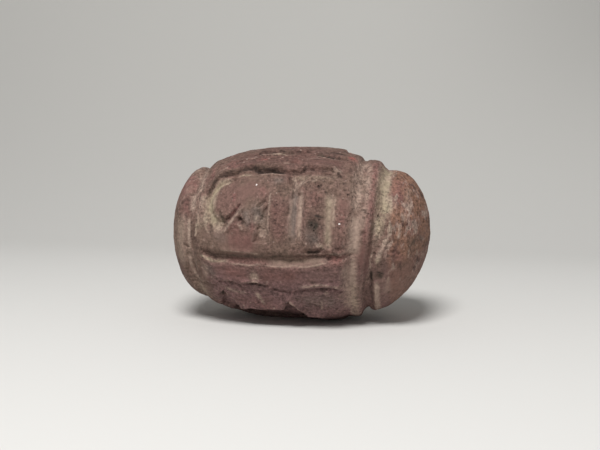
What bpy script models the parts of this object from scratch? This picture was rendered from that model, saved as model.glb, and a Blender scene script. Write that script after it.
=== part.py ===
"""Barrel-shaped clay seal for rolling a pattern, lying on its side.

Metres, +Z up. The seal's long axis runs along X. A place on its side is given by two lengths in
millimetres: u, along the axis from mid-length, and s, around the girth from the front (-Y) upwards.
The blank is turned from one profile. The carving then sinks each place by the depth of the deepest
cut there.
"""

import math

import bmesh
import bpy
import numpy as np

MM = 0.001

# Blank, in millimetres
LENGTH = 64.5
BELLY_RADIUS = 21.9  # widest, on the raised carving
BELLY_DROP = 4.9  # how much smaller the radius is at BELLY_REACH from the middle
BELLY_REACH = 24.0
BELLY_POWER = 2.6
LEFT_END_RADIUS, LEFT_END_DEPTH, LEFT_END_POWER = 17.0, 9.4, 2.2
RIGHT_END_RADIUS, RIGHT_END_DEPTH, RIGHT_END_POWER = 16.2, 9.0, 1.95
RIGHT_END_SAG = 0.15  # how far the right end sits below the axis
LUMP = 0.12  # how far the hand-shaped side swells and sinks

# Grooves and the ring that run round the seal, in millimetres
LEFT_GROOVE_U, LEFT_GROOVE_RADIUS, LEFT_GROOVE_WIDTH = -24.7, 15.5, 1.8
LEFT_GROOVE_WANDER, LEFT_GROOVE_WANDER_START = 0.7, 0.35
BELLY_START_U, BELLY_END_U = -23.7, 14.1
EDGE_SLOPE = 1.2
RING_U, RING_RADIUS, RING_WIDTH = 17.2, 18.6, 3.2
INNER_TROUGH_RADIUS = 17.9
OUTER_GROOVE_U, OUTER_GROOVE_RADIUS, OUTER_GROOVE_WIDTH = 19.9, 15.6, 1.6
RING_LEAN = 1.9  # how far the ring and its grooves lean along the axis, each way
RING_LEAN_START = math.radians(28.0)

# Carving, in millimetres
GIRTH_RADIUS = 21.5  # where s is measured
GIRTH = 2 * math.pi * GIRTH_RADIUS
RECESS_DEPTH = 1.35
SHALLOW_DEPTH = 0.85
DEEP_GROOVE_DEPTH = 1.7
LINE_DEPTH = 0.75
WALL = 0.7  # width of a carved wall's slope
WAVER = 0.22  # how far a cut strays from its line, as a hand makes it
HOLLOW_HALF_FOOT, HOLLOW_LEAN = 4.7, 2.4  # the hollows between the teeth
FRONT_FOOT, BACK_FOOT = -26.5, 77.5  # where the hollows of each row end
SLOTS_LOW, SLOTS_HIGH = 41.5, 58.4
SLOT_COUNT, SLOT_START, SLOT_PITCH, SLOT_WIDTH = 5, -18.4, 6.5, 2.8
LINE_LEFT, LINE_RIGHT = -20.0, 13.2  # ends of the long lines on the back
BACK_LINES = (38.8, 60.6, 67.4, 74.4, 96.0, 106.6)

# Resting spot
REST_DEPTH = 0.5  # how much of the belly is worn flat underneath
AXIS_HEIGHT = BELLY_RADIUS - REST_DEPTH
TABLE_SIZE = 100.0

# Mesh
RINGS = 240
SECTORS = 360
KEPT_SHARE = 0.054  # of the fine mesh's triangles


def rise(x, edge, width):
    """0 below edge and 1 above it, with a smooth slope of this width centred on it."""
    t = np.clip((x - edge) / width + 0.5, 0.0, 1.0)
    return t * t * (3.0 - 2.0 * t)


def band(x, low, high, width):
    """1 from low to high and 0 outside, with slopes of this width at both."""
    return rise(x, low, width) * (1.0 - rise(x, high, width))


# The blank ----------------------------------------------------------------------------------------


def belly(u):
    """Radius of the raised carving."""
    return BELLY_RADIUS - BELLY_DROP * np.abs(u / BELLY_REACH) ** BELLY_POWER


def rounded_end(inward, radius, depth, power):
    """Radius of a rounded end, by the distance inward from its tip."""
    t = np.clip(1.0 - inward / depth, 0.0, 1.0)
    return radius * (1.0 - t**power) ** (1.0 / power)


def ring_shift(theta):
    """How far the ring and its grooves stand to the right of their middle."""
    return RING_LEAN * np.sin(theta + RING_LEAN_START)


def left_groove_shift(theta):
    """How far the left groove stands to the right of its middle."""
    return -LEFT_GROOVE_WANDER * np.cos(2 * theta - LEFT_GROOVE_WANDER_START)


def on_belly(u, theta, inset=0.0):
    """1 on the belly and 0 beyond its two edges, or beyond lines set in from them."""
    left_edge = BELLY_START_U + left_groove_shift(theta) + inset
    right_edge = BELLY_END_U + ring_shift(theta) - inset
    return rise(u, left_edge, EDGE_SLOPE) * (1.0 - rise(u, right_edge, EDGE_SLOPE))


def blank_radius(u, theta):
    """Radius of the uncarved seal."""
    left = rounded_end(u + LENGTH / 2, LEFT_END_RADIUS, LEFT_END_DEPTH, LEFT_END_POWER)
    right = rounded_end(LENGTH / 2 - u, RIGHT_END_RADIUS, RIGHT_END_DEPTH, RIGHT_END_POWER)
    right = right * (1.0 - RIGHT_END_SAG / RIGHT_END_RADIUS * np.sin(theta))
    ends = np.where(u < 0, left, right)
    swell = belly(u) + LUMP * np.sin(3 * theta + 0.14 * u) * np.cos(theta) ** 2
    body = on_belly(u, theta)
    v = u - ring_shift(theta)
    w = u - left_groove_shift(theta)
    trough = band(v, BELLY_END_U, RING_U, EDGE_SLOPE)
    ring = band(v, RING_U - RING_WIDTH / 2, RING_U + RING_WIDTH / 2, EDGE_SLOPE)
    outer = np.exp(-((2 * (v - OUTER_GROOVE_U) / OUTER_GROOVE_WIDTH) ** 2))
    left_groove = np.exp(-((2 * (w - LEFT_GROOVE_U) / LEFT_GROOVE_WIDTH) ** 2))
    radius = ends + body * (swell - ends)
    radius = radius + trough * (1.0 - body) * (INNER_TROUGH_RADIUS - radius)
    radius = radius + ring * (1.0 - body) * (RING_RADIUS - radius)
    radius = np.minimum(radius, radius + outer * (OUTER_GROOVE_RADIUS - radius))
    return np.minimum(radius, radius + left_groove * (LEFT_GROOVE_RADIUS - radius))


# The cuts: each gives its depth at (u, s), 0 where it doesn't reach ----------------------------------


def along(u, s, points):
    """Distance from (u, s) to the line through points, and the share of the line passed there."""
    points = np.array(points, float)
    lengths = np.hypot(*np.diff(points, axis=0).T)
    passed = np.concatenate([[0.0], np.cumsum(lengths)]) / lengths.sum()
    nearest = np.full(np.shape(u), np.inf)
    share = np.zeros(np.shape(u))
    for a, b, start, end in zip(points[:-1], points[1:], passed[:-1], passed[1:]):
        du, ds = b - a
        t = np.clip(((u - a[0]) * du + (s - a[1]) * ds) / (du * du + ds * ds), 0.0, 1.0)
        distance = np.hypot(u - a[0] - t * du, s - a[1] - t * ds)
        closer = distance < nearest
        nearest = np.where(closer, distance, nearest)
        share = np.where(closer, start + t * (end - start), share)
    return nearest, share


def channel(u, s, points, start_width, end_width, depth=RECESS_DEPTH):
    """A channel that follows a line, its width changing evenly from one end to the other."""
    distance, share = along(u, s, points)
    half = 0.5 * (start_width + (end_width - start_width) * share)
    return depth * (1.0 - rise(distance, half, WALL))


def slot(u, s, left, right, low, high):
    """An upright slot between two bars, with round ends."""
    middle, half = (left + right) / 2, (right - left) / 2
    return channel(u, s, [(middle, low + half), (middle, high - half)], 2 * half, 2 * half)


def wedge(u, s, corners, depth=RECESS_DEPTH):
    """A hollow with three straight sides, its corners given clockwise."""
    inside = np.full(np.shape(u), np.inf)
    for (u0, s0), (u1, s1) in zip(corners, corners[1:] + corners[:1]):
        side = ((s1 - s0) * (u - u0) - (u1 - u0) * (s - s0)) / math.hypot(u1 - u0, s1 - s0)
        inside = np.minimum(inside, side)
    return depth * rise(inside, 0.0, WALL)


def hook_panel(u, s):
    """The front panel: a curled hook at its left, then three upright bars."""
    curl = [(-9.0, 18.0), (-12.0, 18.1), (-14.6, 17.5), (-17.0, 16.0), (-18.8, 13.4)]
    curl += [(-19.4, 10.2), (-19.0, 7.2), (-17.6, 4.9)]
    tail = [(-17.6, 4.9), (-15.6, 5.3), (-14.2, 6.9), (-12.2, 9.7)]
    return np.maximum.reduce([
        channel(u, s, curl, 1.2, 2.9),
        channel(u, s, tail, 2.6, 0.7),
        channel(u, s, [(-12.6, 5.6), (-11.2, 4.8)], 1.2, 0.8),
        wedge(u, s, [(-5.3, 11.2), (-4.7, 0.6), (-8.3, 0.6)]),
        channel(u, s, [(-4.8, 15.0), (-4.8, 9.0)], 0.4, 0.5, LINE_DEPTH),
        channel(u, s, [(-9.0, 18.1), (13.0, 17.9)], 1.3, 1.5, SHALLOW_DEPTH),
        wedge(u, s, [(1.0, 12.4), (-1.6, 17.6), (4.0, 17.6)], SHALLOW_DEPTH),
        slot(u, s, 0.2, 3.2, 0.8, 13.4),
        wedge(u, s, [(9.7, 12.6), (7.4, 17.6), (11.8, 17.6)], SHALLOW_DEPTH),
        slot(u, s, 8.5, 11.2, 0.8, 14.0),
        channel(u, s, [(11.2, -0.9), (13.0, -1.0)], 1.1, 1.1, SHALLOW_DEPTH),
    ])


def long_grooves(u, s):
    """The cuts above and below the front panel, which leave the long bars between them."""
    deep = [(-21.8, -2.3), (-18.0, -3.4), (-6.0, -3.7), (14.2, -3.0)]
    wavy = [(-18.4, -11.2), (-14.6, -10.6), (-12.2, -11.5), (-10.2, -10.7), (-6.2, -10.8)]
    wavy += [(-4.6, -11.5), (4.0, -11.5), (9.6, -11.2), (12.2, -12.0)]
    distance, _ = along(u, s, deep)
    half_width = 0.4 + 1.1 * rise(u, -20.0, 5.0) * (1.0 - 0.5 * rise(u, 13.0, 4.0))
    return np.maximum.reduce([
        DEEP_GROOVE_DEPTH * (1.0 - rise(distance, half_width, 1.0)),
        channel(u, s, wavy, 0.6, 0.9, LINE_DEPTH),
        channel(u, s, [(-9.0, 25.8), (3.2, 25.9)], 0.5, 0.6, LINE_DEPTH),
        channel(u, s, [(4.6, 26.2), (12.4, 24.9)], 0.7, 0.5, LINE_DEPTH),
        channel(u, s, [(13.6, 31.5), (13.6, 38.0)], 4.6, 4.6, SHALLOW_DEPTH),
    ])


def tooth_row(u, s, apexes, foot):
    """A row of leaning three-sided hollows, which leave teeth of clay between them."""
    hollows = []
    for apex_u, apex_s in apexes:
        middle = apex_u + HOLLOW_LEAN
        corners = [(apex_u, apex_s), (middle + HOLLOW_HALF_FOOT, foot), (middle - HOLLOW_HALF_FOOT, foot)]
        hollows.append(wedge(u, s, corners))
    return np.maximum.reduce(hollows)


def slot_row(u, s):
    """A plain row of upright slots."""
    lefts = [SLOT_START + SLOT_PITCH * i for i in range(SLOT_COUNT)]
    return np.maximum.reduce([slot(u, s, left, left + SLOT_WIDTH, SLOTS_LOW, SLOTS_HIGH) for left in lefts])


def around(s, middle):
    """s brought within half a girth of middle."""
    return (s - middle + GIRTH / 2) % GIRTH + middle - GIRTH / 2


def carving_depth(u, s):
    """Depth of the deepest cut at (u, s). The front is carved richly and the back more plainly."""
    strayed_u = u + WAVER * np.sin(0.62 * s + 0.3 * u)
    strayed_s = s + WAVER * np.sin(0.55 * u + 0.9)
    front = around(strayed_s, 0.0)
    back = around(strayed_s, GIRTH / 2)
    front_apexes = [(-16.8, -14.6), (-8.6, -12.6), (-0.5, -15.0), (7.4, -15.6)]
    back_apexes = [(-15.4, 92.6), (-7.3, 93.4), (0.9, 92.4), (8.8, 93.0)]
    cuts = [
        hook_panel(strayed_u, front),
        long_grooves(strayed_u, front),
        tooth_row(strayed_u, front, front_apexes, FRONT_FOOT),
        slot_row(strayed_u, back),
        tooth_row(strayed_u, back, back_apexes, BACK_FOOT),
    ]
    for level in BACK_LINES:
        cuts.append(channel(strayed_u, back, [(LINE_LEFT, level), (LINE_RIGHT, level)], 1.2, 1.4, 1.1))
    return np.maximum.reduce(cuts)


def carved_radius(u, theta):
    """Radius of the finished seal."""
    reach = on_belly(u, theta, 0.4)
    return blank_radius(u, theta) - carving_depth(u, theta * GIRTH_RADIUS) * reach


# The solid ----------------------------------------------------------------------------------------


def fired_clay():
    material = bpy.data.materials.new("fired_clay")
    material.use_nodes = True
    shader = material.node_tree.nodes["Principled BSDF"]
    shader.inputs["Base Color"].default_value = (0.22, 0.115, 0.09, 1.0)
    shader.inputs["Roughness"].default_value = 0.85
    shader.inputs["Metallic"].default_value = 0.0
    return material


def place(u, theta, radius):
    """Points in metres at this place along the axis, angle from the front upwards and radius."""
    return np.stack([u, -radius * np.cos(theta), AXIS_HEIGHT + radius * np.sin(theta)], axis=-1) * MM


def skin_points():
    """Rings of points from left to right, closer together towards the ends, then the two tips."""
    turns = np.linspace(-math.pi / 2, math.pi / 2, RINGS + 2)[1:-1]
    u, theta = np.meshgrid(
        LENGTH / 2 * np.sin(turns), np.linspace(0, 2 * math.pi, SECTORS, endpoint=False), indexing="ij"
    )
    rings = place(u, theta, carved_radius(u, theta)).reshape(-1, 3)
    tips = place(np.array([-LENGTH / 2, LENGTH / 2]), np.zeros(2), np.zeros(2))
    return np.vstack([rings, tips])


def skin_faces():
    """Four-sided faces between neighbouring rings, and a fan of triangles round each tip."""
    faces = []
    left_tip = RINGS * SECTORS
    right_tip = left_tip + 1
    last_ring = (RINGS - 1) * SECTORS
    for j in range(SECTORS):
        k = (j + 1) % SECTORS
        faces.append((left_tip, j, k))
        faces.append((right_tip, last_ring + k, last_ring + j))
        for start in range(0, last_ring, SECTORS):
            faces.append((start + j, start + SECTORS + j, start + SECTORS + k, start + k))
    return faces


def make_seal():
    mesh = bpy.data.meshes.new("stamp_seal")
    mesh.from_pydata(skin_points().tolist(), [], skin_faces())
    mesh.materials.append(fired_clay())
    mesh.shade_smooth()
    mesh.set_sharp_from_angle(angle=math.radians(35.0))
    seal = bpy.data.objects.new("stamp_seal", mesh)
    bpy.context.scene.collection.objects.link(seal)
    coarser = seal.modifiers.new("coarser", "DECIMATE")
    coarser.ratio = KEPT_SHARE
    coarser.use_collapse_triangulate = True
    return seal


def flatten_underside(seal):
    """Cut off what would reach below the surface the seal lies on."""
    block = bmesh.new()
    bmesh.ops.create_cube(block, size=TABLE_SIZE * MM)
    mesh = bpy.data.meshes.new("table")
    block.to_mesh(mesh)
    block.free()
    table = bpy.data.objects.new("table", mesh)
    bpy.context.scene.collection.objects.link(table)
    table.location.z = -0.5 * TABLE_SIZE * MM
    table.hide_render = True
    table.display_type = "WIRE"
    cut = seal.modifiers.new("flat_spot", "BOOLEAN")
    cut.operation = "DIFFERENCE"
    cut.solver = "EXACT"
    cut.object = table


def main():
    for old in list(bpy.data.objects):
        bpy.data.objects.remove(old, do_unlink=True)
    flatten_underside(make_seal())


main()
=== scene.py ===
import math

import bpy
import numpy as np
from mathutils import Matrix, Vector


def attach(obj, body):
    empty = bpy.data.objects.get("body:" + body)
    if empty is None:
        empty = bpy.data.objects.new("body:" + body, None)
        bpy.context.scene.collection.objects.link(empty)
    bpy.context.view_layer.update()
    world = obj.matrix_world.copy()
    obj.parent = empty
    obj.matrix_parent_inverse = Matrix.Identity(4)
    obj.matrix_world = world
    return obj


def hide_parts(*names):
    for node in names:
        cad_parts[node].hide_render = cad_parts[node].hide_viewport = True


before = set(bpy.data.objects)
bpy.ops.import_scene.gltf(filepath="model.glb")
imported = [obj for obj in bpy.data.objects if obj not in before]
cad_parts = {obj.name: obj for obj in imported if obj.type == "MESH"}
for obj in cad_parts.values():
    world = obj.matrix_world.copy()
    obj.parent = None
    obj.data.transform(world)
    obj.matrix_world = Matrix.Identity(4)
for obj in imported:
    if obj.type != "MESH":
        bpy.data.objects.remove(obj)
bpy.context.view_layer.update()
mm = 0.001
print("frame is read:", *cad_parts)

# The seal lies along X. A place on its side is u, millimetres along the axis from mid-length, and theta, the
# angle round it from the front (-Y) upwards. s is that angle measured in millimetres round the girth.
# Lengths in the tables below are in millimetres too.


# A smooth ramp across an edge: 0 below it, 1 above it, and 3 t^2 - 2 t^3 over the width in between
def rise(x, edge, width):
    t = np.clip((x - edge) / width + 0.5, 0.0, 1.0)
    return t * t * (3.0 - 2.0 * t)


# 1 between two edges, 0 outside them: one ramp up times one ramp down
def band(x, low, high, width):
    return rise(x, low, width) * (1.0 - rise(x, high, width))


# Lattice cells are counted from well below any point of the seal, so that their numbers stay positive
latticeStart = 512.0


# Value noise, -1 to 1: a random number at each corner of a cubic lattice, blended by 6 f^5 - 15 f^4 + 10 f^3
def latticeNoise(points, grain, seed):
    q = points / grain + latticeStart
    cell = np.floor(q).astype(np.int64)
    f = q - cell
    f = f * f * f * (f * (f * 6.0 - 15.0) + 10.0)
    total = np.zeros(len(points))
    for corner in np.ndindex(2, 2, 2):
        weight = np.prod(np.where(np.array(corner) == 1, f, 1.0 - f), axis=1)
        total += weight * latticeNumber(cell + np.array(corner), seed)
    return 2.0 * total - 1.0


# One number from 0 to 1 for each lattice cell, mixed from its three indices and the seed
def latticeNumber(cell, seed):
    mixed = cell[:, 0] * 73856093 ^ cell[:, 1] * 19349663 ^ cell[:, 2] * 83492791 ^ seed * 2654435761
    mixed &= 0xFFFFFFFF
    for shift, factor in ((15, 0x2C1B3C6D), (12, 0x297A2D39), (15, 0x1B56C4E9)):
        mixed ^= mixed >> shift
        mixed = (mixed * factor) & 0xFFFFFFFF
    return (mixed ^ (mixed >> 15)) / 4294967296.0


# Octaves of lattice noise, each half the grain and 0.6 of the height of the one before, their sum divided by
# 1 and 0.5 more for each after the first
def layeredNoise(points, grain, seed, octaves=3):
    total = sum(latticeNoise(points, grain / 2**i, seed + i) * 0.6**i for i in range(octaves))
    return total / (1.0 + 0.5 * (octaves - 1))


bowls = {
    "margin": 0.2,  # how near its cell's sides a bowl's centre may come, as a share of the cell
    "radius": (0.16, 0.3),  # the smallest, and how much larger the largest is, as shares of the cell
}


# Round pits, 0 to 1 deep: a share of the lattice cells each holds one bowl, 1 - (distance / radius) ^ 2 deep
def pits(points, grain, share, seed):
    home = np.floor(points / grain + latticeStart).astype(np.int64)
    depth = np.zeros(len(points))
    smallest, spread = bowls["radius"]
    for step in np.ndindex(3, 3, 3):
        cell = home + np.array(step) - 1
        place = np.stack([latticeNumber(cell, seed + k) for k in range(3)], axis=1)
        centre = (cell - latticeStart + bowls["margin"] + (1.0 - 2.0 * bowls["margin"]) * place) * grain
        size = grain * (smallest + spread * latticeNumber(cell, seed + 3))
        held = latticeNumber(cell, seed + 4) < share
        away = np.linalg.norm(points - centre, axis=1) / size
        depth = np.maximum(depth, held * np.clip(1.0 - away**2, 0.0, 1.0))
    return depth


blank = {
    "length": 64.5,
    "bellyRadius": 21.9,
    "bellyDrop": 4.9,  # how much smaller the radius is at bellyReach from the middle
    "bellyReach": 24.0,
    "bellyPower": 2.6,
    "bellyStart": (-23.5, 2.2),  # where the belly begins, and how softly
    "bellyEnd": (14.3, 2.8, 2.2),  # where it ends, how softly, and how much softer in front
    "bellyLean": (1.9, math.radians(28.0)),  # how far its end leans aslant, and where round the girth
    "leftEnd": (17.0, 9.4, 2.2),  # radius, depth and power of the rounded end
    "rightEnd": (16.2, 9.0, 1.95),
    "rightEndSag": 0.15,  # how far its middle hangs below the axis
    "rightUnder": (18.8, 14.0, 1.8),  # the right end below, where it is fuller and tapers more
    "lump": (0.12, 3.0, 0.14),  # swelling of the hand-shaped side: height, waves round it, turn along it
    "leftGroove": (-24.7, 15.7, 2.4),  # middle, radius at the bottom, width
    "leftGrooveWander": (0.7, 0.35),  # how far it strays along the axis, and from where round the girth
    "trough": (17.9, 1.5, 1.2),  # radius, how far it sets in before the belly's end, and how softly
    "ring": (16.7, 18.6, 3.2, 2.4, 2.2),  # middle, radius, width, softness of its left and right sides
    "outerGroove": (19.7, 15.8, 3.0),
    "ringLean": (2.75, math.radians(19.6)),
    # how much fuller than their radii these run on top, in front and behind, and below
    "fill": {
        "trough": (0.9, 1.0, 3.0),
        "ring": (0.0, 0.0, 1.9),
        "outer": (0.7, 0.55, 1.6),
        "left": (0.0, 0.0, 1.2),
    },
    "crispBelow": 0.65,  # how much narrower the grooves and the ring's right side are underneath
    "frontFrom": (0.3, 0.6),  # cosine of theta where the front begins, and how softly
    "underFrom": (0.72, 0.5),  # downward sine of theta where the underside begins, and how softly
    "restDepth": 0.5,  # how much of the belly is worn flat underneath
    "endLift": (0.75, 0.6, 19.0, 33.0, 1.5),  # rise of the left and right tips, over which stretch, power
}
blank["axisHeight"] = blank["bellyRadius"] - blank["restDepth"]


# Radius of the belly along the axis: widest - drop * (|u| / reach) ^ power
def bellyRadius(u):
    return blank["bellyRadius"] - blank["bellyDrop"] * np.abs(u / blank["bellyReach"]) ** blank["bellyPower"]


# A rounded end is a superellipse: radius * (1 - t ^ power) ^ (1 / power), t rising from 0 at its depth to 1
# at its tip
def endRadius(inward, end):
    radius, depth, power = end
    t = np.clip(1.0 - inward / depth, 0.0, 1.0)
    return radius * (1.0 - t**power) ** (1.0 / power)


# How far the belly's right end, or the ring, stands to the right: a sine wave round the seal lays it aslant
def leanShift(theta, which):
    lean, start = blank[which]
    return lean * np.sin(theta + start)


# 0 from the front upwards, 1 on the underside: a ramp over the downward sine of theta
def underside(theta):
    return rise(-np.sin(theta), *blank["underFrom"])


# How far the left groove stands to the right: less by a cosine wave, twice round the seal
def leftGrooveShift(theta):
    wander, start = blank["leftGrooveWander"]
    return -wander * np.cos(2 * theta - start)


# 1 on the belly, 0 past its ends: a ramp up at its start times a ramp down at its slanting end
def onBelly(u, theta, inset=0.0):
    leftEdge, leftSlope = blank["bellyStart"]
    rightEdge, rightSlope, gentler = blank["bellyEnd"]
    rightSlope = rightSlope + gentler * rise(np.cos(theta), *blank["frontFrom"])
    leftEdge = leftEdge + leftGrooveShift(theta) + inset
    rightEdge = rightEdge + leanShift(theta, "bellyLean") - inset
    return rise(u, leftEdge, leftSlope) * (1.0 - rise(u, rightEdge, rightSlope))


# Radius of the ends alone: the right one sags by a sine of theta, and a fuller one replaces it underneath
def plainEnds(u, theta):
    left = endRadius(u + blank["length"] / 2, blank["leftEnd"])
    right = endRadius(blank["length"] / 2 - u, blank["rightEnd"])
    right = right * (1.0 - blank["rightEndSag"] / blank["rightEnd"][0] * np.sin(theta))
    below = endRadius(blank["length"] / 2 - u, blank["rightUnder"])
    right = right + underside(theta) * (below - right)
    return np.where(u < 0, left, right)


# The two ends turn up a little, by a power of the way out, as on a roll of clay that was bent while soft
def endLift(u):
    leftLift, rightLift, start, end, power = blank["endLift"]
    share = np.clip((np.abs(u) - start) / (end - start), 0.0, 1.0)
    return np.where(u < 0, leftLift, rightLift) * share**power


# Radius of the uncarved blank: from the ends' radius, ramps lead over to the belly, the trough and the ring,
# and each groove draws it towards its bottom by a bell curve, exp(-(2 distance / width) ^ 2)
def blankRadius(u, theta):
    body = onBelly(u, theta)
    v = u - leanShift(theta, "ringLean")
    w = u - leftGrooveShift(theta)
    top, low = underside(-theta), underside(theta)
    fill = {}
    for name, (onTop, between, below) in blank["fill"].items():
        fill[name] = onTop * top + between * (1.0 - top - low) + below * low
    crisp = 1.0 - blank["crispBelow"] * low
    ringMiddle, ringTop, ringWidth, leftSlope, rightSlope = blank["ring"]
    troughRadius, before, slope = blank["trough"]
    trough = band(v, blank["bellyEnd"][0] - before, ringMiddle, slope)
    ring = rise(v, ringMiddle - ringWidth / 2, leftSlope)
    ring = ring * (1.0 - rise(v, ringMiddle + ringWidth / 2, rightSlope * crisp))
    height, waves, turn = blank["lump"]
    swell = bellyRadius(u) + height * np.sin(waves * theta + turn * u) * np.cos(theta) ** 2
    radius = plainEnds(u, theta)
    radius = radius + body * (swell - radius)
    radius = radius + trough * (1.0 - body) * (troughRadius + fill["trough"] - radius)
    radius = radius + ring * (1.0 - body) * (ringTop + fill["ring"] - radius)
    for across, groove, lift in ((v, "outerGroove", fill["outer"]), (w, "leftGroove", fill["left"])):
        middle, bottom, width = blank[groove]
        dip = np.exp(-((2 * (across - middle) / (width * crisp)) ** 2))
        radius = np.minimum(radius, radius + dip * (bottom + lift - radius))
    return radius


carving = {
    "girthRadius": 21.5,
    "recess": 1.35,  # the depths of the four kinds of cut
    "shallow": 0.6,
    "deep": 1.55,
    "line": 0.7,
    "wall": 0.6,  # width of a cut wall's slope
    "softWall": 2.0,
    "inset": 0.4,  # how far inside the belly's two ends the carving stops
    "waver": 0.2,  # how far a cut strays from its line
    "waves": ((0.62, 0.3), (0.55, 0.9)),  # radians for a millimetre of s and of u, then of u, and its start
    "panel": (7.0, 10.5),  # middle and half height of the front panel
    "hollowFoot": (4.7, 2.4),  # half width and lean of the hollows between teeth
    "frontTeeth": ([(-16.8, -14.9), (-0.6, -15.0)], -26.5, 1.3),  # tips, level of their feet, share of wall
    "backTeeth": ([(-15.4, 92.6), (-7.3, 93.4), (0.9, 92.4), (8.8, 93.0)], 77.5, 1.0),
    "slotSpan": (41.5, 58.4),  # levels of the feet and tops of the slots behind
    "slotRow": (5, -18.4, 6.5, 2.8),  # count, first left edge, pitch, width
    "backLines": (38.8, 60.6, 67.4, 74.4, 96.0, 106.6),  # levels of the long grooves behind
    "backLineSpan": (-20.0, 13.2),
    "backLineCut": (1.2, 1.4, 1.1),  # widths at its left and right ends, depth
}
carving["girth"] = 2 * math.pi * carving["girthRadius"]


# Distance from (u, s) to the line through these points, and the share of the line passed there
def along(u, s, points):
    points = np.array(points, float)
    lengths = np.hypot(*np.diff(points, axis=0).T)
    passed = np.concatenate([[0.0], np.cumsum(lengths)]) / lengths.sum()
    nearest = np.full(np.shape(u), np.inf)
    share = np.zeros(np.shape(u))
    for a, b, start, end in zip(points[:-1], points[1:], passed[:-1], passed[1:]):
        du, ds = b - a
        t = np.clip(((u - a[0]) * du + (s - a[1]) * ds) / (du * du + ds * ds), 0.0, 1.0)
        distance = np.hypot(u - a[0] - t * du, s - a[1] - t * ds)
        closer = distance < nearest
        nearest = np.where(closer, distance, nearest)
        share = np.where(closer, start + t * (end - start), share)
    return nearest, share


# A groove along a line: full depth nearer to it than half the width, which changes evenly from end to end
def channel(u, s, wall, points, startWidth, endWidth, depth):
    distance, share = along(u, s, points)
    half = 0.5 * (startWidth + (endWidth - startWidth) * share)
    return depth * (1.0 - rise(distance, half, wall))


# An upright slot with round ends: a groove as wide as the slot along its middle line
def slot(u, s, wall, left, right, low, high):
    middle, half = (left + right) / 2, (right - left) / 2
    ends = [(middle, low + half), (middle, high - half)]
    return channel(u, s, wall, ends, 2 * half, 2 * half, carving["recess"])


# A hollow with straight sides: the least distance inside them, put through a ramp
def wedge(u, s, wall, corners, depth):
    inside = np.full(np.shape(u), np.inf)
    for (u0, s0), (u1, s1) in zip(corners, corners[1:] + corners[:1]):
        side = ((s1 - s0) * (u - u0) - (u1 - u0) * (s - s0)) / math.hypot(u1 - u0, s1 - s0)
        inside = np.minimum(inside, side)
    return depth * rise(inside, 0.0, wall)


# The cuts on the front. A line is the kind and share of its depth, its share of the wall, or 0 for a soft
# one, the widths at its start and end, and its points (u, s). A wedge has corners and no widths
cuts = {
    # the front panel: a curled hook at its left, then three upright bars
    "hookLine": [
        (-14.2, 17.2), (-16.6, 16.8), (-18.3, 15.6), (-19.4, 13.4), (-20.0, 11.0), (-19.9, 8.4),
        (-19.0, 6.2), (-17.6, 4.8), (-16.2, 4.4),
    ],
    "hook": ("recess", 1.0, 1.0, 1.0, 2.2),
    "hookSide": (0.5, 0.2, 0.8, 1.4, 3.2),  # a softer cut, this far to its left and below: depth, widths
    "panelLines": [
        ("recess", 0.6, 0, 2.0, 1.6, (-18.6, 4.4), (-17.2, 2.8)),
        ("recess", 0.8, 0.6, 0.9, 0.4, (-14.8, 5.6), (-14.0, 6.3), (-13.3, 7.0), (-12.6, 8.1), (-11.9, 9.4)),
        ("recess", 0.4, 0, 1.6, 2.0, (-9.6, 9.0), (-9.2, 6.4), (-6.6, 6.8)),
        ("recess", 0.8, 0.7, 1.0, 0.8, (-11.4, 5.9), (-10.5, 5.0)),
        ("recess", 0.7, 0.7, 0.5, 0.4, (-5.8, 9.9), (-6.4, 9.2), (-7.2, 8.8)),
        ("shallow", 0.5, 1.0, 0.3, 0.4, (-4.9, 14.6), (-4.9, 10.0)),
        ("shallow", 1.0, 1.0, 1.0, 1.3, (-16.5, 18.2), (-9.0, 18.3), (4.0, 17.9), (12.6, 17.6)),
        ("recess", 0.75, 0.7, 0.9, 0.8, (2.7, 12.0), (2.9, 1.0)),
        ("recess", 0.7, 1.4, 0.8, 1.3, (1.5, 12.6), (1.4, 1.2)),
        ("shallow", 0.7, 1.0, 0.8, 0.9, (9.3, 15.2), (9.2, 13.6)),
        ("recess", 0.5, 1.8, 1.5, 1.2, (10.0, 13.2), (10.0, 0.0)),
        ("shallow", 0.7, 0.8, 1.1, 1.1, (11.9, -0.9), (13.0, -1.0)),
    ],
    # scored above and below the panel, and a broad dip on top
    "outerLines": [
        ("line", 0.8, 1.0, 0.5, 0.4, (-17.0, -11.5), (-15.4, -10.9), (-13.6, -10.8), (-12.7, -11.0),
            (-11.7, -12.4), (-10.8, -12.4)),
        ("line", 1.0, 1.0, 0.4, 0.5, (-10.8, -10.8), (-8.6, -10.5), (-6.8, -10.6), (-5.0, -11.2)),
        ("line", 1.0, 1.0, 0.5, 0.6, (-4.2, -12.0), (0.6, -12.3), (3.4, -11.8), (10.6, -11.7),
            (12.4, -12.9)),
        ("line", 1.0, 0.7, 0.5, 0.6, (-7.4, 26.3), (-4.4, 25.9), (-1.0, 26.1), (1.2, 26.0)),
        ("line", 0.5, 0.7, 0.3, 0.3, (-8.8, 24.8), (-3.0, 24.6)),
        ("line", 1.0, 0.7, 0.8, 0.4, (5.2, 25.7), (7.0, 25.1), (9.4, 24.4), (12.2, 24.4)),
        ("shallow", 1.4, 1.0, 4.6, 4.6, (13.6, 31.5), (13.6, 38.0)),
    ],
    "wedges": [
        ("recess", 0.9, 0.8, (-5.2, 9.6), (-4.5, 0.3), (-8.2, 0.3)),
        ("shallow", 1.0, 1.0, (1.4, 12.4), (-1.4, 17.6), (3.9, 17.4)),
        ("deep", 1.0, 1.0, (-10.5, -19.0), (-1.5, -18.6), (3.5, -21.5), (5.5, -24.5), (6.0, -31.0),
            (-17.0, -31.0), (-15.0, -21.8)),
    ],
}


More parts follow.
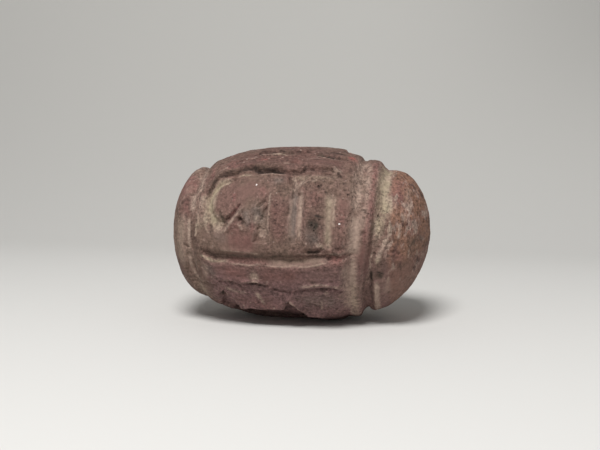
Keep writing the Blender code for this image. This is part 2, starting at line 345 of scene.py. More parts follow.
# The deepest of the front's cuts: each row becomes a groove or a hollow with its own share of the depth
# and of the wall
def frontCuts(u, s, wall):
    soft = carving["softWall"]
    hook = cuts["hookLine"]
    left, below, share, startWidth, endWidth = cuts["hookSide"]
    depths = [channel(u + left, s + below, soft, hook, startWidth, endWidth, share * carving["recess"])]
    lines = [(*cuts["hook"], *hook), *cuts["panelLines"], *cuts["outerLines"]]
    for kind, share, wallShare, startWidth, endWidth, *points in lines:
        slope = wallShare * wall if wallShare else soft
        depths.append(channel(u, s, slope, points, startWidth, endWidth, share * carving[kind]))
    for kind, share, wallShare, *corners in cuts["wedges"]:
        depths.append(wedge(u, s, wallShare * wall, corners, share * carving[kind]))
    return np.maximum.reduce(depths)


# The long furrow under the panel
furrow = {
    "upper": [(-21.8, -1.8), (-18.0, -1.9), (-6.0, -2.0), (2.0, -1.5), (14.4, -1.5)],
    "bottom": [
        (-21.8, -2.9), (-19.4, -3.7), (-17.6, -4.6), (-14.5, -4.2), (-6.0, -4.1), (0.0, -3.5), (5.0, -3.6),
        (9.0, -3.1), (14.4, -2.8),
    ],
    "lower": [
        (-21.8, -3.6), (-19.8, -5.3), (-17.0, -6.0), (-13.0, -5.3), (-6.0, -5.4), (4.0, -5.5), (8.0, -5.2),
        (11.0, -4.4), (14.4, -3.6),
    ],
    "upperPower": 1.8,
    "lowerBend": 0.5,
    "start": (-20.6, 3.0),  # where it sets in, and how softly
    "shallowEnd": (11.0, 4.0, 0.45),  # where it grows shallower on the right, how softly and how much
    "shallowStretch": (-13.5, -5.5, 3.0, 0.35),  # the same between two places
}


# The furrow was cut with a slanting tool. Its upper side rounds over into the bottom line, as share ^ power,
# and its lower side runs up nearly straight from there, as share + bend * share * (1 - share)
def longFurrow(u, s):
    top, floor, foot = (np.interp(u, *zip(*furrow[line])) for line in ("upper", "bottom", "lower"))
    share = np.where(s > floor, (top - s) / (top - floor), (s - foot) / (floor - foot))
    share = np.clip(share, 0.0, 1.0)
    bend = furrow["lowerBend"]
    section = np.where(s > floor, share ** furrow["upperPower"], share * (1.0 + bend - bend * share))
    endEdge, endSlope, endLoss = furrow["shallowEnd"]
    left, right, slope, loss = furrow["shallowStretch"]
    run = rise(u, *furrow["start"]) * (1.0 - endLoss * rise(u, endEdge, endSlope))
    run = run * (1.0 - loss * band(u, left, right, slope))
    return carving["deep"] * run * section


# A row of teeth is the three-sided hollows between them, each a wedge from its tip down to the feet
def toothRow(u, s, wall, teeth):
    halfFoot, lean = carving["hollowFoot"]
    tips, foot, wallShare = teeth
    hollows = []
    for tipU, tipS in tips:
        middle = tipU + lean
        corners = [(tipU, tipS), (middle + halfFoot, foot), (middle - halfFoot, foot)]
        hollows.append(wedge(u, s, wallShare * wall, corners, carving["recess"]))
    return np.maximum.reduce(hollows)


# Equal slots side by side, one pitch apart
def slotRow(u, s, wall):
    count, start, pitch, width = carving["slotRow"]
    low, high = carving["slotSpan"]
    lefts = [start + pitch * i for i in range(count)]
    return np.maximum.reduce([slot(u, s, wall, left, left + width, low, high) for left in lefts])


# s brought within half a girth of the middle by whole turns
def around(s, middle):
    girth = carving["girth"]
    return (s - middle + girth / 2) % girth + middle - girth / 2


# 1 on the front panel, 0 above and below it: a ramp over the distance from its middle
def onPanel(s, softness):
    middle, half = carving["panel"]
    return rise(-np.abs(s - middle), -half, softness)


# Depth of the deepest cut at each place, with the cuts' lines strayed by sine waves and their walls uneven
def carvingDepth(u, s, stray, wall):
    waver = carving["waver"]
    (perS, perU), (rate, start) = carving["waves"]
    cutU = u + waver * np.sin(perS * s + perU * u) + stray[0]
    cutS = s + waver * np.sin(rate * u + start) + stray[1]
    front = around(cutS, 0.0)
    back = around(cutS, carving["girth"] / 2)
    depths = [
        frontCuts(cutU, front, wall),
        longFurrow(cutU, front),
        toothRow(cutU, front, wall, carving["frontTeeth"]),
        slotRow(cutU, back, wall),
        toothRow(cutU, back, wall, carving["backTeeth"]),
    ]
    left, right = carving["backLineSpan"]
    for level in carving["backLines"]:
        depths.append(channel(cutU, back, wall, [(left, level), (right, level)], *carving["backLineCut"]))
    return np.maximum.reduce(depths)


# Marks of the maker's tool and of wear. Each ends with the points (u, s) of its line. A ledge begins with
# its height and reach, and a crease, ridge or hollow with its width and its depth or height
marks = {
    "ledges": [
        (1.0, 2.0, (-20.8, 12.4), (-19.8, 15.4), (-18.8, 17.9), (-16.8, 18.9), (-14.4, 18.8), (-12.4, 19.2)),
        (1.1, 2.6, (-12.4, 19.2), (-10.2, 19.7), (-8.4, 19.0), (-6.2, 19.0), (-4.2, 18.8), (-2.0, 18.3)),
        (0.9, 2.2, (-2.0, 18.3), (1.4, 18.2), (2.8, 18.8), (3.6, 19.7), (6.0, 19.5), (9.6, 19.3),
            (11.2, 18.2)),
        (0.9, 2.0, (-9.4, 25.6), (-8.0, 26.1), (-6.2, 26.2), (-4.4, 25.7), (-2.4, 25.8), (0.8, 26.0),
            (3.0, 26.4)),
        (0.4, 1.0, (-9.0, 24.4), (-6.0, 24.5), (-2.8, 24.6)),
        (0.4, 1.0, (-0.6, 24.4), (1.0, 24.3), (2.2, 24.2)),
        (0.6, 1.4, (4.6, 26.0), (6.4, 25.4), (8.0, 24.8), (9.6, 24.7), (12.6, 24.8)),
        (1.1, 2.2, (-14.5, -21.4), (-10.5, -19.2), (-6.0, -18.7), (-1.5, -18.4), (-0.75, -15.4),
            (2.2, -18.9), (3.6, -21.0), (8.0, -22.4)),
        (0.45, 1.6, (-18.4, 21.8), (-15.6, 20.9), (-12.6, 21.4), (-10.8, 21.6)),
        (0.4, 1.4, (-16.6, 24.2), (-14.0, 23.2), (-11.0, 23.6), (-8.6, 23.4)),
        (0.4, 1.4, (-4.6, 21.4), (-2.2, 20.8), (0.2, 21.2), (2.6, 21.6)),
        (0.35, 1.2, (4.4, 22.4), (7.0, 22.0), (10.4, 22.4)),
    ],
    "creases": [
        (0.7, 0.5, (-20.5, 13.6), (-19.8, 15.4), (-19.2, 16.9), (-18.4, 18.2), (-17.2, 18.9), (-14.6, 18.9)),
        (0.6, 0.35, (-14.6, 18.9), (-12.6, 19.3), (-10.8, 19.6)),
        (0.8, 0.9, (-10.2, 19.6), (-8.4, 19.0), (-5.6, 18.9), (-3.4, 18.8), (-1.6, 18.6)),
        (0.9, 0.6, (-6.0, 20.9), (-5.2, 19.2)),
        (0.8, 0.6, (-1.8, 18.4), (1.2, 18.3), (3.0, 18.8), (3.6, 19.7), (5.4, 19.3), (8.6, 19.3),
            (10.8, 18.6)),
        (0.8, 0.5, (-14.6, 18.4), (-14.1, 17.2)),
        (0.7, 0.45, (-16.2, 16.2), (-14.9, 15.6)),
        (0.9, 0.45, (-17.4, 8.2), (-16.6, 6.6), (-15.4, 5.4)),
        (0.7, 0.4, (-24.9, -13.8), (-25.7, -11.2), (-25.9, -8.4), (-25.6, -5.0)),
        (0.7, 0.35, (-24.2, -3.4), (-24.3, 0.6), (-24.2, 4.6)),
        (0.7, 0.3, (-23.9, -8.4), (-24.1, -10.8), (-23.4, -12.6)),
        (0.9, 0.35, (-26.6, -2.4), (-25.2, -3.4)),
        (0.6, 0.35, (-19.3, 4.2), (-18.8, 3.0), (-19.2, 2.0), (-18.9, 1.2)),
        (0.8, 0.35, (-21.6, -13.4), (-19.8, -13.9), (-18.0, -12.6)),
        (0.9, 0.8, (-16.8, -15.4), (-17.6, -16.8), (-18.4, -17.6)),
        (0.8, 0.5, (4.2, -16.2), (5.8, -17.4), (7.1, -19.4)),
        (0.9, 1.0, (-0.8, -15.6), (-1.3, -18.4)),
        (1.1, 0.9, (4.4, -1.9), (6.2, -1.8), (7.8, -1.6), (8.3, -0.9)),
        (0.8, 0.5, (0.4, 8.2), (0.5, 7.1), (0.0, 6.5)),
        (0.6, 0.4, (2.4, 12.4), (3.5, 11.2)),
        (0.6, 0.35, (13.4, 14.1), (12.8, 13.6)),
        (0.6, 0.35, (14.2, 21.2), (13.9, 19.4)),
        (0.6, 0.3, (15.2, 16.6), (14.4, 16.3)),
        (0.8, 0.35, (19.9, 8.0), (19.7, 4.0), (19.3, 0.0), (18.9, -4.0)),
        (0.7, 0.4, (-0.8, 17.0), (0.4, 15.4), (0.9, 13.6), (0.7, 10.4)),
        (0.6, 0.35, (3.8, 11.4), (3.8, 1.6)),
        (0.8, 0.7, (19.0, -9.4), (18.8, -12.6), (19.1, -14.2), (18.9, -20.0), (18.8, -27.0)),
        (0.6, 0.35, (24.4, -18.6), (25.8, -19.9)),
        (0.6, 0.3, (-12.5, 4.0), (-12.0, 3.3)),
        (0.5, 0.25, (-8.0, 4.8), (-8.1, 1.0)),
    ],
    "ridges": [
        (1.3, 0.5, (-11.0, 8.4), (-12.0, 7.0), (-13.1, 5.4), (-13.9, 4.0), (-15.2, 3.1), (-16.2, 2.2),
            (-16.3, 1.2)),
        (1.1, 0.4, (-12.0, 4.8), (-11.2, 3.6), (-10.6, 2.9)),
        (0.8, 0.2, (-4.1, 10.6), (-4.4, 8.0), (-4.2, 6.0), (-4.5, 4.0), (-4.4, 0.6)),
        (0.9, 0.3, (-17.0, -2.0), (-8.0, -2.3)),
        (0.7, 0.3, (-8.0, 17.5), (-0.4, 17.4)),
        (0.9, 0.3, (-8.8, 25.4), (-3.0, 25.2)),
        (1.1, 0.35, (-24.9, -6.4), (-25.2, -9.0), (-25.0, -11.2), (-24.3, -13.0), (-22.9, -13.4)),
        (0.9, 0.3, (-22.9, -7.2), (-22.9, -9.8)),
        (1.0, 0.3, (-24.8, 6.2), (-25.0, 4.0), (-25.2, 1.0), (-25.1, -2.6)),
        (1.0, 0.25, (-22.8, 4.6), (-22.9, 3.0), (-23.3, 0.6)),
        (0.7, 0.3, (-16.2, -10.7), (-15.0, -10.3), (-13.6, -10.0)),
        (0.7, 0.35, (-12.2, -10.5), (-10.8, -10.0), (-9.0, -9.9), (-7.0, -10.0), (-5.4, -10.5)),
        (1.0, 0.4, (2.0, -10.9), (4.0, -10.5), (7.0, -10.1), (9.6, -10.3), (11.4, -11.0), (12.4, -11.8)),
        (1.0, 0.4, (-16.0, -15.4), (-15.3, -17.4), (-14.6, -19.4)),
        (0.9, 0.4, (-0.4, -15.0), (0.6, -16.0), (1.6, -17.0), (2.6, -18.4)),
        (0.9, 0.35, (-9.4, -13.2), (-8.0, -13.9), (-7.2, -14.6), (-6.5, -15.6), (-6.2, -16.8)),
        (0.8, 0.4, (7.6, -16.4), (7.5, -18.4)),
        (1.3, 0.5, (24.0, 8.0), (23.4, 4.0), (22.8, 1.0), (22.0, -1.6), (21.3, -4.0), (20.6, -6.2),
            (20.1, -8.0)),
        (0.9, 0.4, (19.9, -13.8), (19.9, -20.0), (19.8, -27.0)),
        (1.0, 0.3, (23.4, -9.5), (22.4, -11.2), (22.2, -13.0), (21.0, -13.8)),
        (0.8, 0.3, (25.8, 5.6), (25.9, 2.6), (25.4, 0.6)),
        (1.3, 0.45, (3.2, 14.4), (4.6, 15.2), (6.2, 15.6), (7.8, 15.2)),
        (1.2, 0.3, (11.0, 18.9), (12.4, 19.4)),
        (0.9, 0.3, (-21.2, -5.6), (-19.4, -6.2), (-17.8, -7.0)),
    ],
    "hollows": [
        (5.0, 0.35, (-22.6, 10.0), (-22.2, 1.0)),
        (6.0, 0.3, (-14.0, -1.2), (-8.0, -0.6)),
        (3.4, 0.35, (-9.0, -8.6), (-7.6, -8.6)),
        (2.6, 0.5, (20.2, -11.4), (21.2, -11.4)),
        (3.0, 0.25, (12.4, 7.6), (12.6, 3.0)),
        (3.2, 0.3, (5.8, 5.4), (6.6, 3.4)),
        (2.4, 0.25, (27.0, 6.2), (27.2, 5.6)),
        (1.5, 0.35, (16.9, 10.8), (17.3, 10.6)),
    ],
}


strokeShape = {
    "reach": 1.3,  # how far from its line a mark still counts, in widths
    "tip": 0.45,  # share of the full mark at its two tips
    "taper": 5.0,  # how fast it grows from there, for each share of the line
}


# The strongest mark at each place: a line's cross-section is a bell curve, exp(-(2 distance / width) ^ 2),
# and it tapers evenly to its two ends
def strokes(u, s, lines):
    total = np.zeros(np.shape(u))
    for width, amount, *points in lines:
        us, ss = zip(*points)
        reach = strokeShape["reach"] * width
        near = (u > min(us) - reach) & (u < max(us) + reach) & (s > min(ss) - reach) & (s < max(ss) + reach)
        distance, share = along(u[near], s[near], points)
        taper = np.clip(strokeShape["tip"] + strokeShape["taper"] * np.minimum(share, 1.0 - share), 0.0, 1.0)
        total[near] = np.maximum(total[near], amount * taper * np.exp(-((2.0 * distance / width) ** 2)))
    return total


ledgeShape = {
    "margin": 1.0,  # how far past its line's points a ledge is looked for
    "fade": 3.0,  # and how far above its line, in reaches
    "ends": 1.6,  # length over which it rises at its two ends
    "lip": (0.15, 0.5),  # middle and width of the ramp up from the line
}


# Ledges: above its line the clay stands higher by the height, up a ramp, and falls off again by a bell
# curve, exp(-(above / reach) ^ 2)
def steps(u, s, lines):
    total = np.zeros(np.shape(u))
    margin = ledgeShape["margin"]
    for height, reach, *points in lines:
        us, ss = zip(*points)
        near = (u > us[0] - margin) & (u < us[-1] + margin)
        near &= (s > min(ss) - margin) & (s < max(ss) + ledgeShape["fade"] * reach)
        above = s[near] - np.interp(u[near], us, ss)
        ends = rise(np.minimum(u[near] - us[0], us[-1] - u[near]), 0.0, ledgeShape["ends"])
        rest = np.exp(-((np.maximum(above, 0.0) / reach) ** 2))
        total[near] = np.maximum(total[near], height * ends * rise(above, *ledgeShape["lip"]) * rest)
    return total


skin = {
    "capRings": 52,  # rings of the square grid that closes each end
    "sideRings": 180,
    "capReach": (15.4, 14.6),  # how far each cap runs from its tip, along the surface
    "frontDense": 0.34,  # how much closer together the points stand at the front
    "frontAngle": math.radians(16.0),  # where round the girth they stand closest
    "profileSteps": 8001,  # points of the plain profile
    "profileBelly": (23.0, 5.0),  # how far out the plain profile follows the belly, and how softly it ends
}


# The plain profile from tip to tip, as tables over the length along it: u, radius and the outward normal,
# which is the profile's direction turned by a right angle
def profileTable():
    turn = np.linspace(-math.pi / 2, math.pi / 2, skin["profileSteps"])
    u = blank["length"] / 2 * np.sin(turn)
    ends = plainEnds(u, 0.0)
    radius = ends + (1.0 - rise(np.abs(u), *skin["profileBelly"])) * (bellyRadius(u) - ends)
    length = np.concatenate([[0.0], np.cumsum(np.hypot(np.diff(u), np.diff(radius)))])
    normal = np.stack([-np.gradient(radius, length), np.gradient(u, length)])
    return length, u, radius, normal / np.linalg.norm(normal, axis=0)


profile = profileTable()
sectors = 8 * skin["capRings"]


# Angle of each share of a turn: the turn less a sine of it, so the points stand closer together at the front
def angleAt(share):
    turn = 2 * math.pi * share
    return turn - skin["frontDense"] * (np.sin(turn - skin["frontAngle"]) + math.sin(skin["frontAngle"]))


# u at a length along the profile
def placeAt(length):
    return np.interp(length, profile[0], profile[1])


# A place on the skin: the angle turns the radius round the X axis
def cylinderPoints(u, theta, radius):
    return np.stack([u, -radius * np.cos(theta), radius * np.sin(theta)], axis=-1)


# Places on one end's cap: each square ring of a grid becomes a round one, its number giving the length from
# the tip, and the steps along it the share of a turn
def capPlaces(leftSide):
    n = skin["capRings"]
    i, j = np.meshgrid(np.arange(-n, n + 1), np.arange(-n, n + 1), indexing="ij")
    ring = np.maximum(np.abs(i), np.abs(j))
    onRight = (i == ring) & (j < ring)
    onTop = (j == ring) & (i > -ring)
    onLeft = (i == -ring) & (j > -ring)
    step = np.where(onLeft, 5 * ring - j, 7 * ring + i)
    step = np.where(onTop, 3 * ring - i, step)
    step = np.where(onRight, j + ring, step)
    step = np.where(ring == 0, 0, step)
    share = step / np.maximum(8 * ring, 1)
    reach = skin["capReach"][0 if leftSide else 1] * ring / n
    length = reach if leftSide else profile[0][-1] - reach
    return ring, step, length, angleAt(share)


# One pass spreads each value over its neighbours, a quarter to each side; the grid closes round the seal
def blur(values, passes):
    for _ in range(passes):
        values = 0.5 * values + 0.25 * (np.roll(values, 1, axis=1) + np.roll(values, -1, axis=1))
        padded = np.pad(values, ((1, 1), (0, 0)), mode="edge")
        values = 0.5 * values + 0.25 * (padded[2:] + padded[:-2])
    return values


# Sizes are in millimetres. A noise call's whole numbers are its seed and, where given, its octaves
wearing = {
    "stray": (0.36, 3.4),  # how far edges stray, and the size of the wander
    "fineStray": (0.2, 1.0),
    "walls": (1.15, 0.5, 4.0),  # how wide the walls are, how much that varies, and over which size
    "depthSpread": (0.3, 3.0),
    "edgePasses": 6,  # passes of blurring that show up an edge
    "edgeShare": (0.6, 0.5, 2.2, 1.3),  # how much of a convex edge is worn away, its spread, size and most
    "fillPasses": 16,  # and a corner
    "fillDrop": (0.5, 0.35, 2.6),  # how far below the smoothed surface soil fills a corner, spread and size
    "fillMost": 0.6,  # how much soil a corner holds at most
    "soilPasses": 120,  # passes of blurring that show how deep a place lies
    "ends": (-27.0, 26.0, 2.0),  # between which places edges wear and corners fill, and how softly it fades
    "markStray": 0.5,  # share of the cuts' wander that the marks follow
    "undulation": (0.2, 5.0),
    "grain": (0.07, 0.9),
    "streaks": (0.09, 0.55, 4.5),  # height, width across and length of the tool's fine furrows
    "streakEnds": (22.0, 5.0),  # how far from the middle they run, and how softly they fade
    "panelFade": 2.0,  # how softly they turn from upright on the panel to level
    "pitLayers": ((1.5, 0.2, 0.3, 31), (0.95, 0.22, 0.2, 41)),  # grain, share of cells, depth, seed
    "pitWarp": 0.25,  # how crooked the pits are, as a share of their grain
    "pitPatches": (6.0, 0.45, 0.4),  # size of the patches that have pits, and the ramp that parts them
}


# The uneven skin that every part of the seal has, in millimetres along the normal: two noises, and streaks
# that run upright on the panel and level elsewhere, less the pits
def skinRelief(points, u, s):
    height, size = wearing["undulation"]
    relief = height * layeredNoise(points, size, 11, 3)
    height, size = wearing["grain"]
    relief += height * layeredNoise(points, size, 17, 2)
    height, width, reach = wearing["streaks"]
    upright = np.stack([u / width, s / reach, np.zeros_like(u)], axis=1)
    level = np.stack([u / reach, s / width, np.zeros_like(u)], axis=1)
    panel = onPanel(s, wearing["panelFade"])
    streaks = panel * layeredNoise(upright, 1.0, 23, 2) + (1.0 - panel) * layeredNoise(level, 1.0, 27, 2)
    streaks = streaks * (1.0 - rise(np.abs(u), *wearing["streakEnds"]))
    relief += height * streaks
    patchSize, edge, width = wearing["pitPatches"]
    patches = rise(0.5 + 0.5 * layeredNoise(points, patchSize, 29, 2), edge, width)
    pit = np.zeros(len(points))
    for size, share, depth, seed in wearing["pitLayers"]:
        warp = wearing["pitWarp"] * size * layeredNoise(points, size, 33, 1)
        bowl = pits(points + warp[:, None], size, share, seed) * patches
        relief -= depth * bowl
        pit = np.maximum(pit, bowl)
    return relief, pit, streaks


# Side of the seal: blank radius less the carving. Then edges are worn down where they stand above the
# blurred surface, corners are filled with soil where they lie below it, and the marks are added
def carvedSide():
    length = np.linspace(skin["capReach"][0], profile[0][-1] - skin["capReach"][1], skin["sideRings"])
    length, theta = np.meshgrid(length, angleAt(np.arange(sectors) / sectors), indexing="ij")
    u = placeAt(length)
    radius = blankRadius(u, theta)
    flat = cylinderPoints(u, theta, radius).reshape(-1, 3)

    def patches(size, seed):
        return layeredNoise(flat, size, seed).reshape(u.shape)

    reach, size = wearing["stray"]
    fineReach, fineSize = wearing["fineStray"]
    stray = [reach * patches(size, seed) + fineReach * patches(fineSize, seed + 5) for seed in (61, 71)]
    wide, spread, size = wearing["walls"]
    wall = carving["wall"] * (wide + spread * patches(size, 81))
    spread, size = wearing["depthSpread"]
    deepness = 1.0 + spread * patches(size, 83)
    s = theta * carving["girthRadius"]
    carved = radius - carvingDepth(u, s, stray, wall) * onBelly(u, theta, carving["inset"]) * deepness
    left, right, softness = wearing["ends"]
    fade = band(u, left, right, softness)
    edge = np.maximum(carved - blur(carved, wearing["edgePasses"]), 0.0) * fade
    share, spread, size, most = wearing["edgeShare"]
    worn = carved - edge * np.clip(share + spread * patches(size, 91), 0.0, most)
    drop, spread, size = wearing["fillDrop"]
    level = blur(worn, wearing["fillPasses"]) - drop + spread * patches(size, 97)
    filled = np.maximum(worn, np.minimum(level, worn + wearing["fillMost"]) * fade + worn * (1.0 - fade))
    sunk = (blur(filled, wearing["soilPasses"]) - filled) * fade
    markU = u + wearing["markStray"] * stray[0]
    markS = around(s, 0.0) + wearing["markStray"] * stray[1]
    filled = filled + strokes(markU, markS, marks["ridges"]) - strokes(markU, markS, marks["creases"])
    filled = filled - strokes(markU, markS, marks["hollows"]) + steps(markU, markS, marks["ledges"])
    return {"length": length, "theta": theta, "radius": filled, "edge": edge, "sunk": sunk}


# Corners of the quads between neighbouring rings of the side
def sideFaces(rings):
    i, j = np.meshgrid(np.arange(rings - 1), np.arange(sectors), indexing="ij")
    k = (j + 1) % sectors
    corners = [i * sectors + j, (i + 1) * sectors + j, (i + 1) * sectors + k, i * sectors + k]
    return np.stack(corners, axis=-1).reshape(-1, 4)


# Corners of a cap's quads: its rim is the side's own end ring, so the skin has no seam
def capFaces(ring, step, rimStart, firstNew, leftSide):
    inside = ring < skin["capRings"]
    newIndex = firstNew + np.cumsum(inside.ravel()).reshape(ring.shape) - 1
    index = np.where(inside, newIndex, rimStart + step % sectors)
    corners = [index[:-1, :-1], index[1:, :-1], index[1:, 1:], index[:-1, 1:]]
    if not leftSide:
        corners.reverse()
    return np.stack(corners, axis=-1).reshape(-1, 4), inside


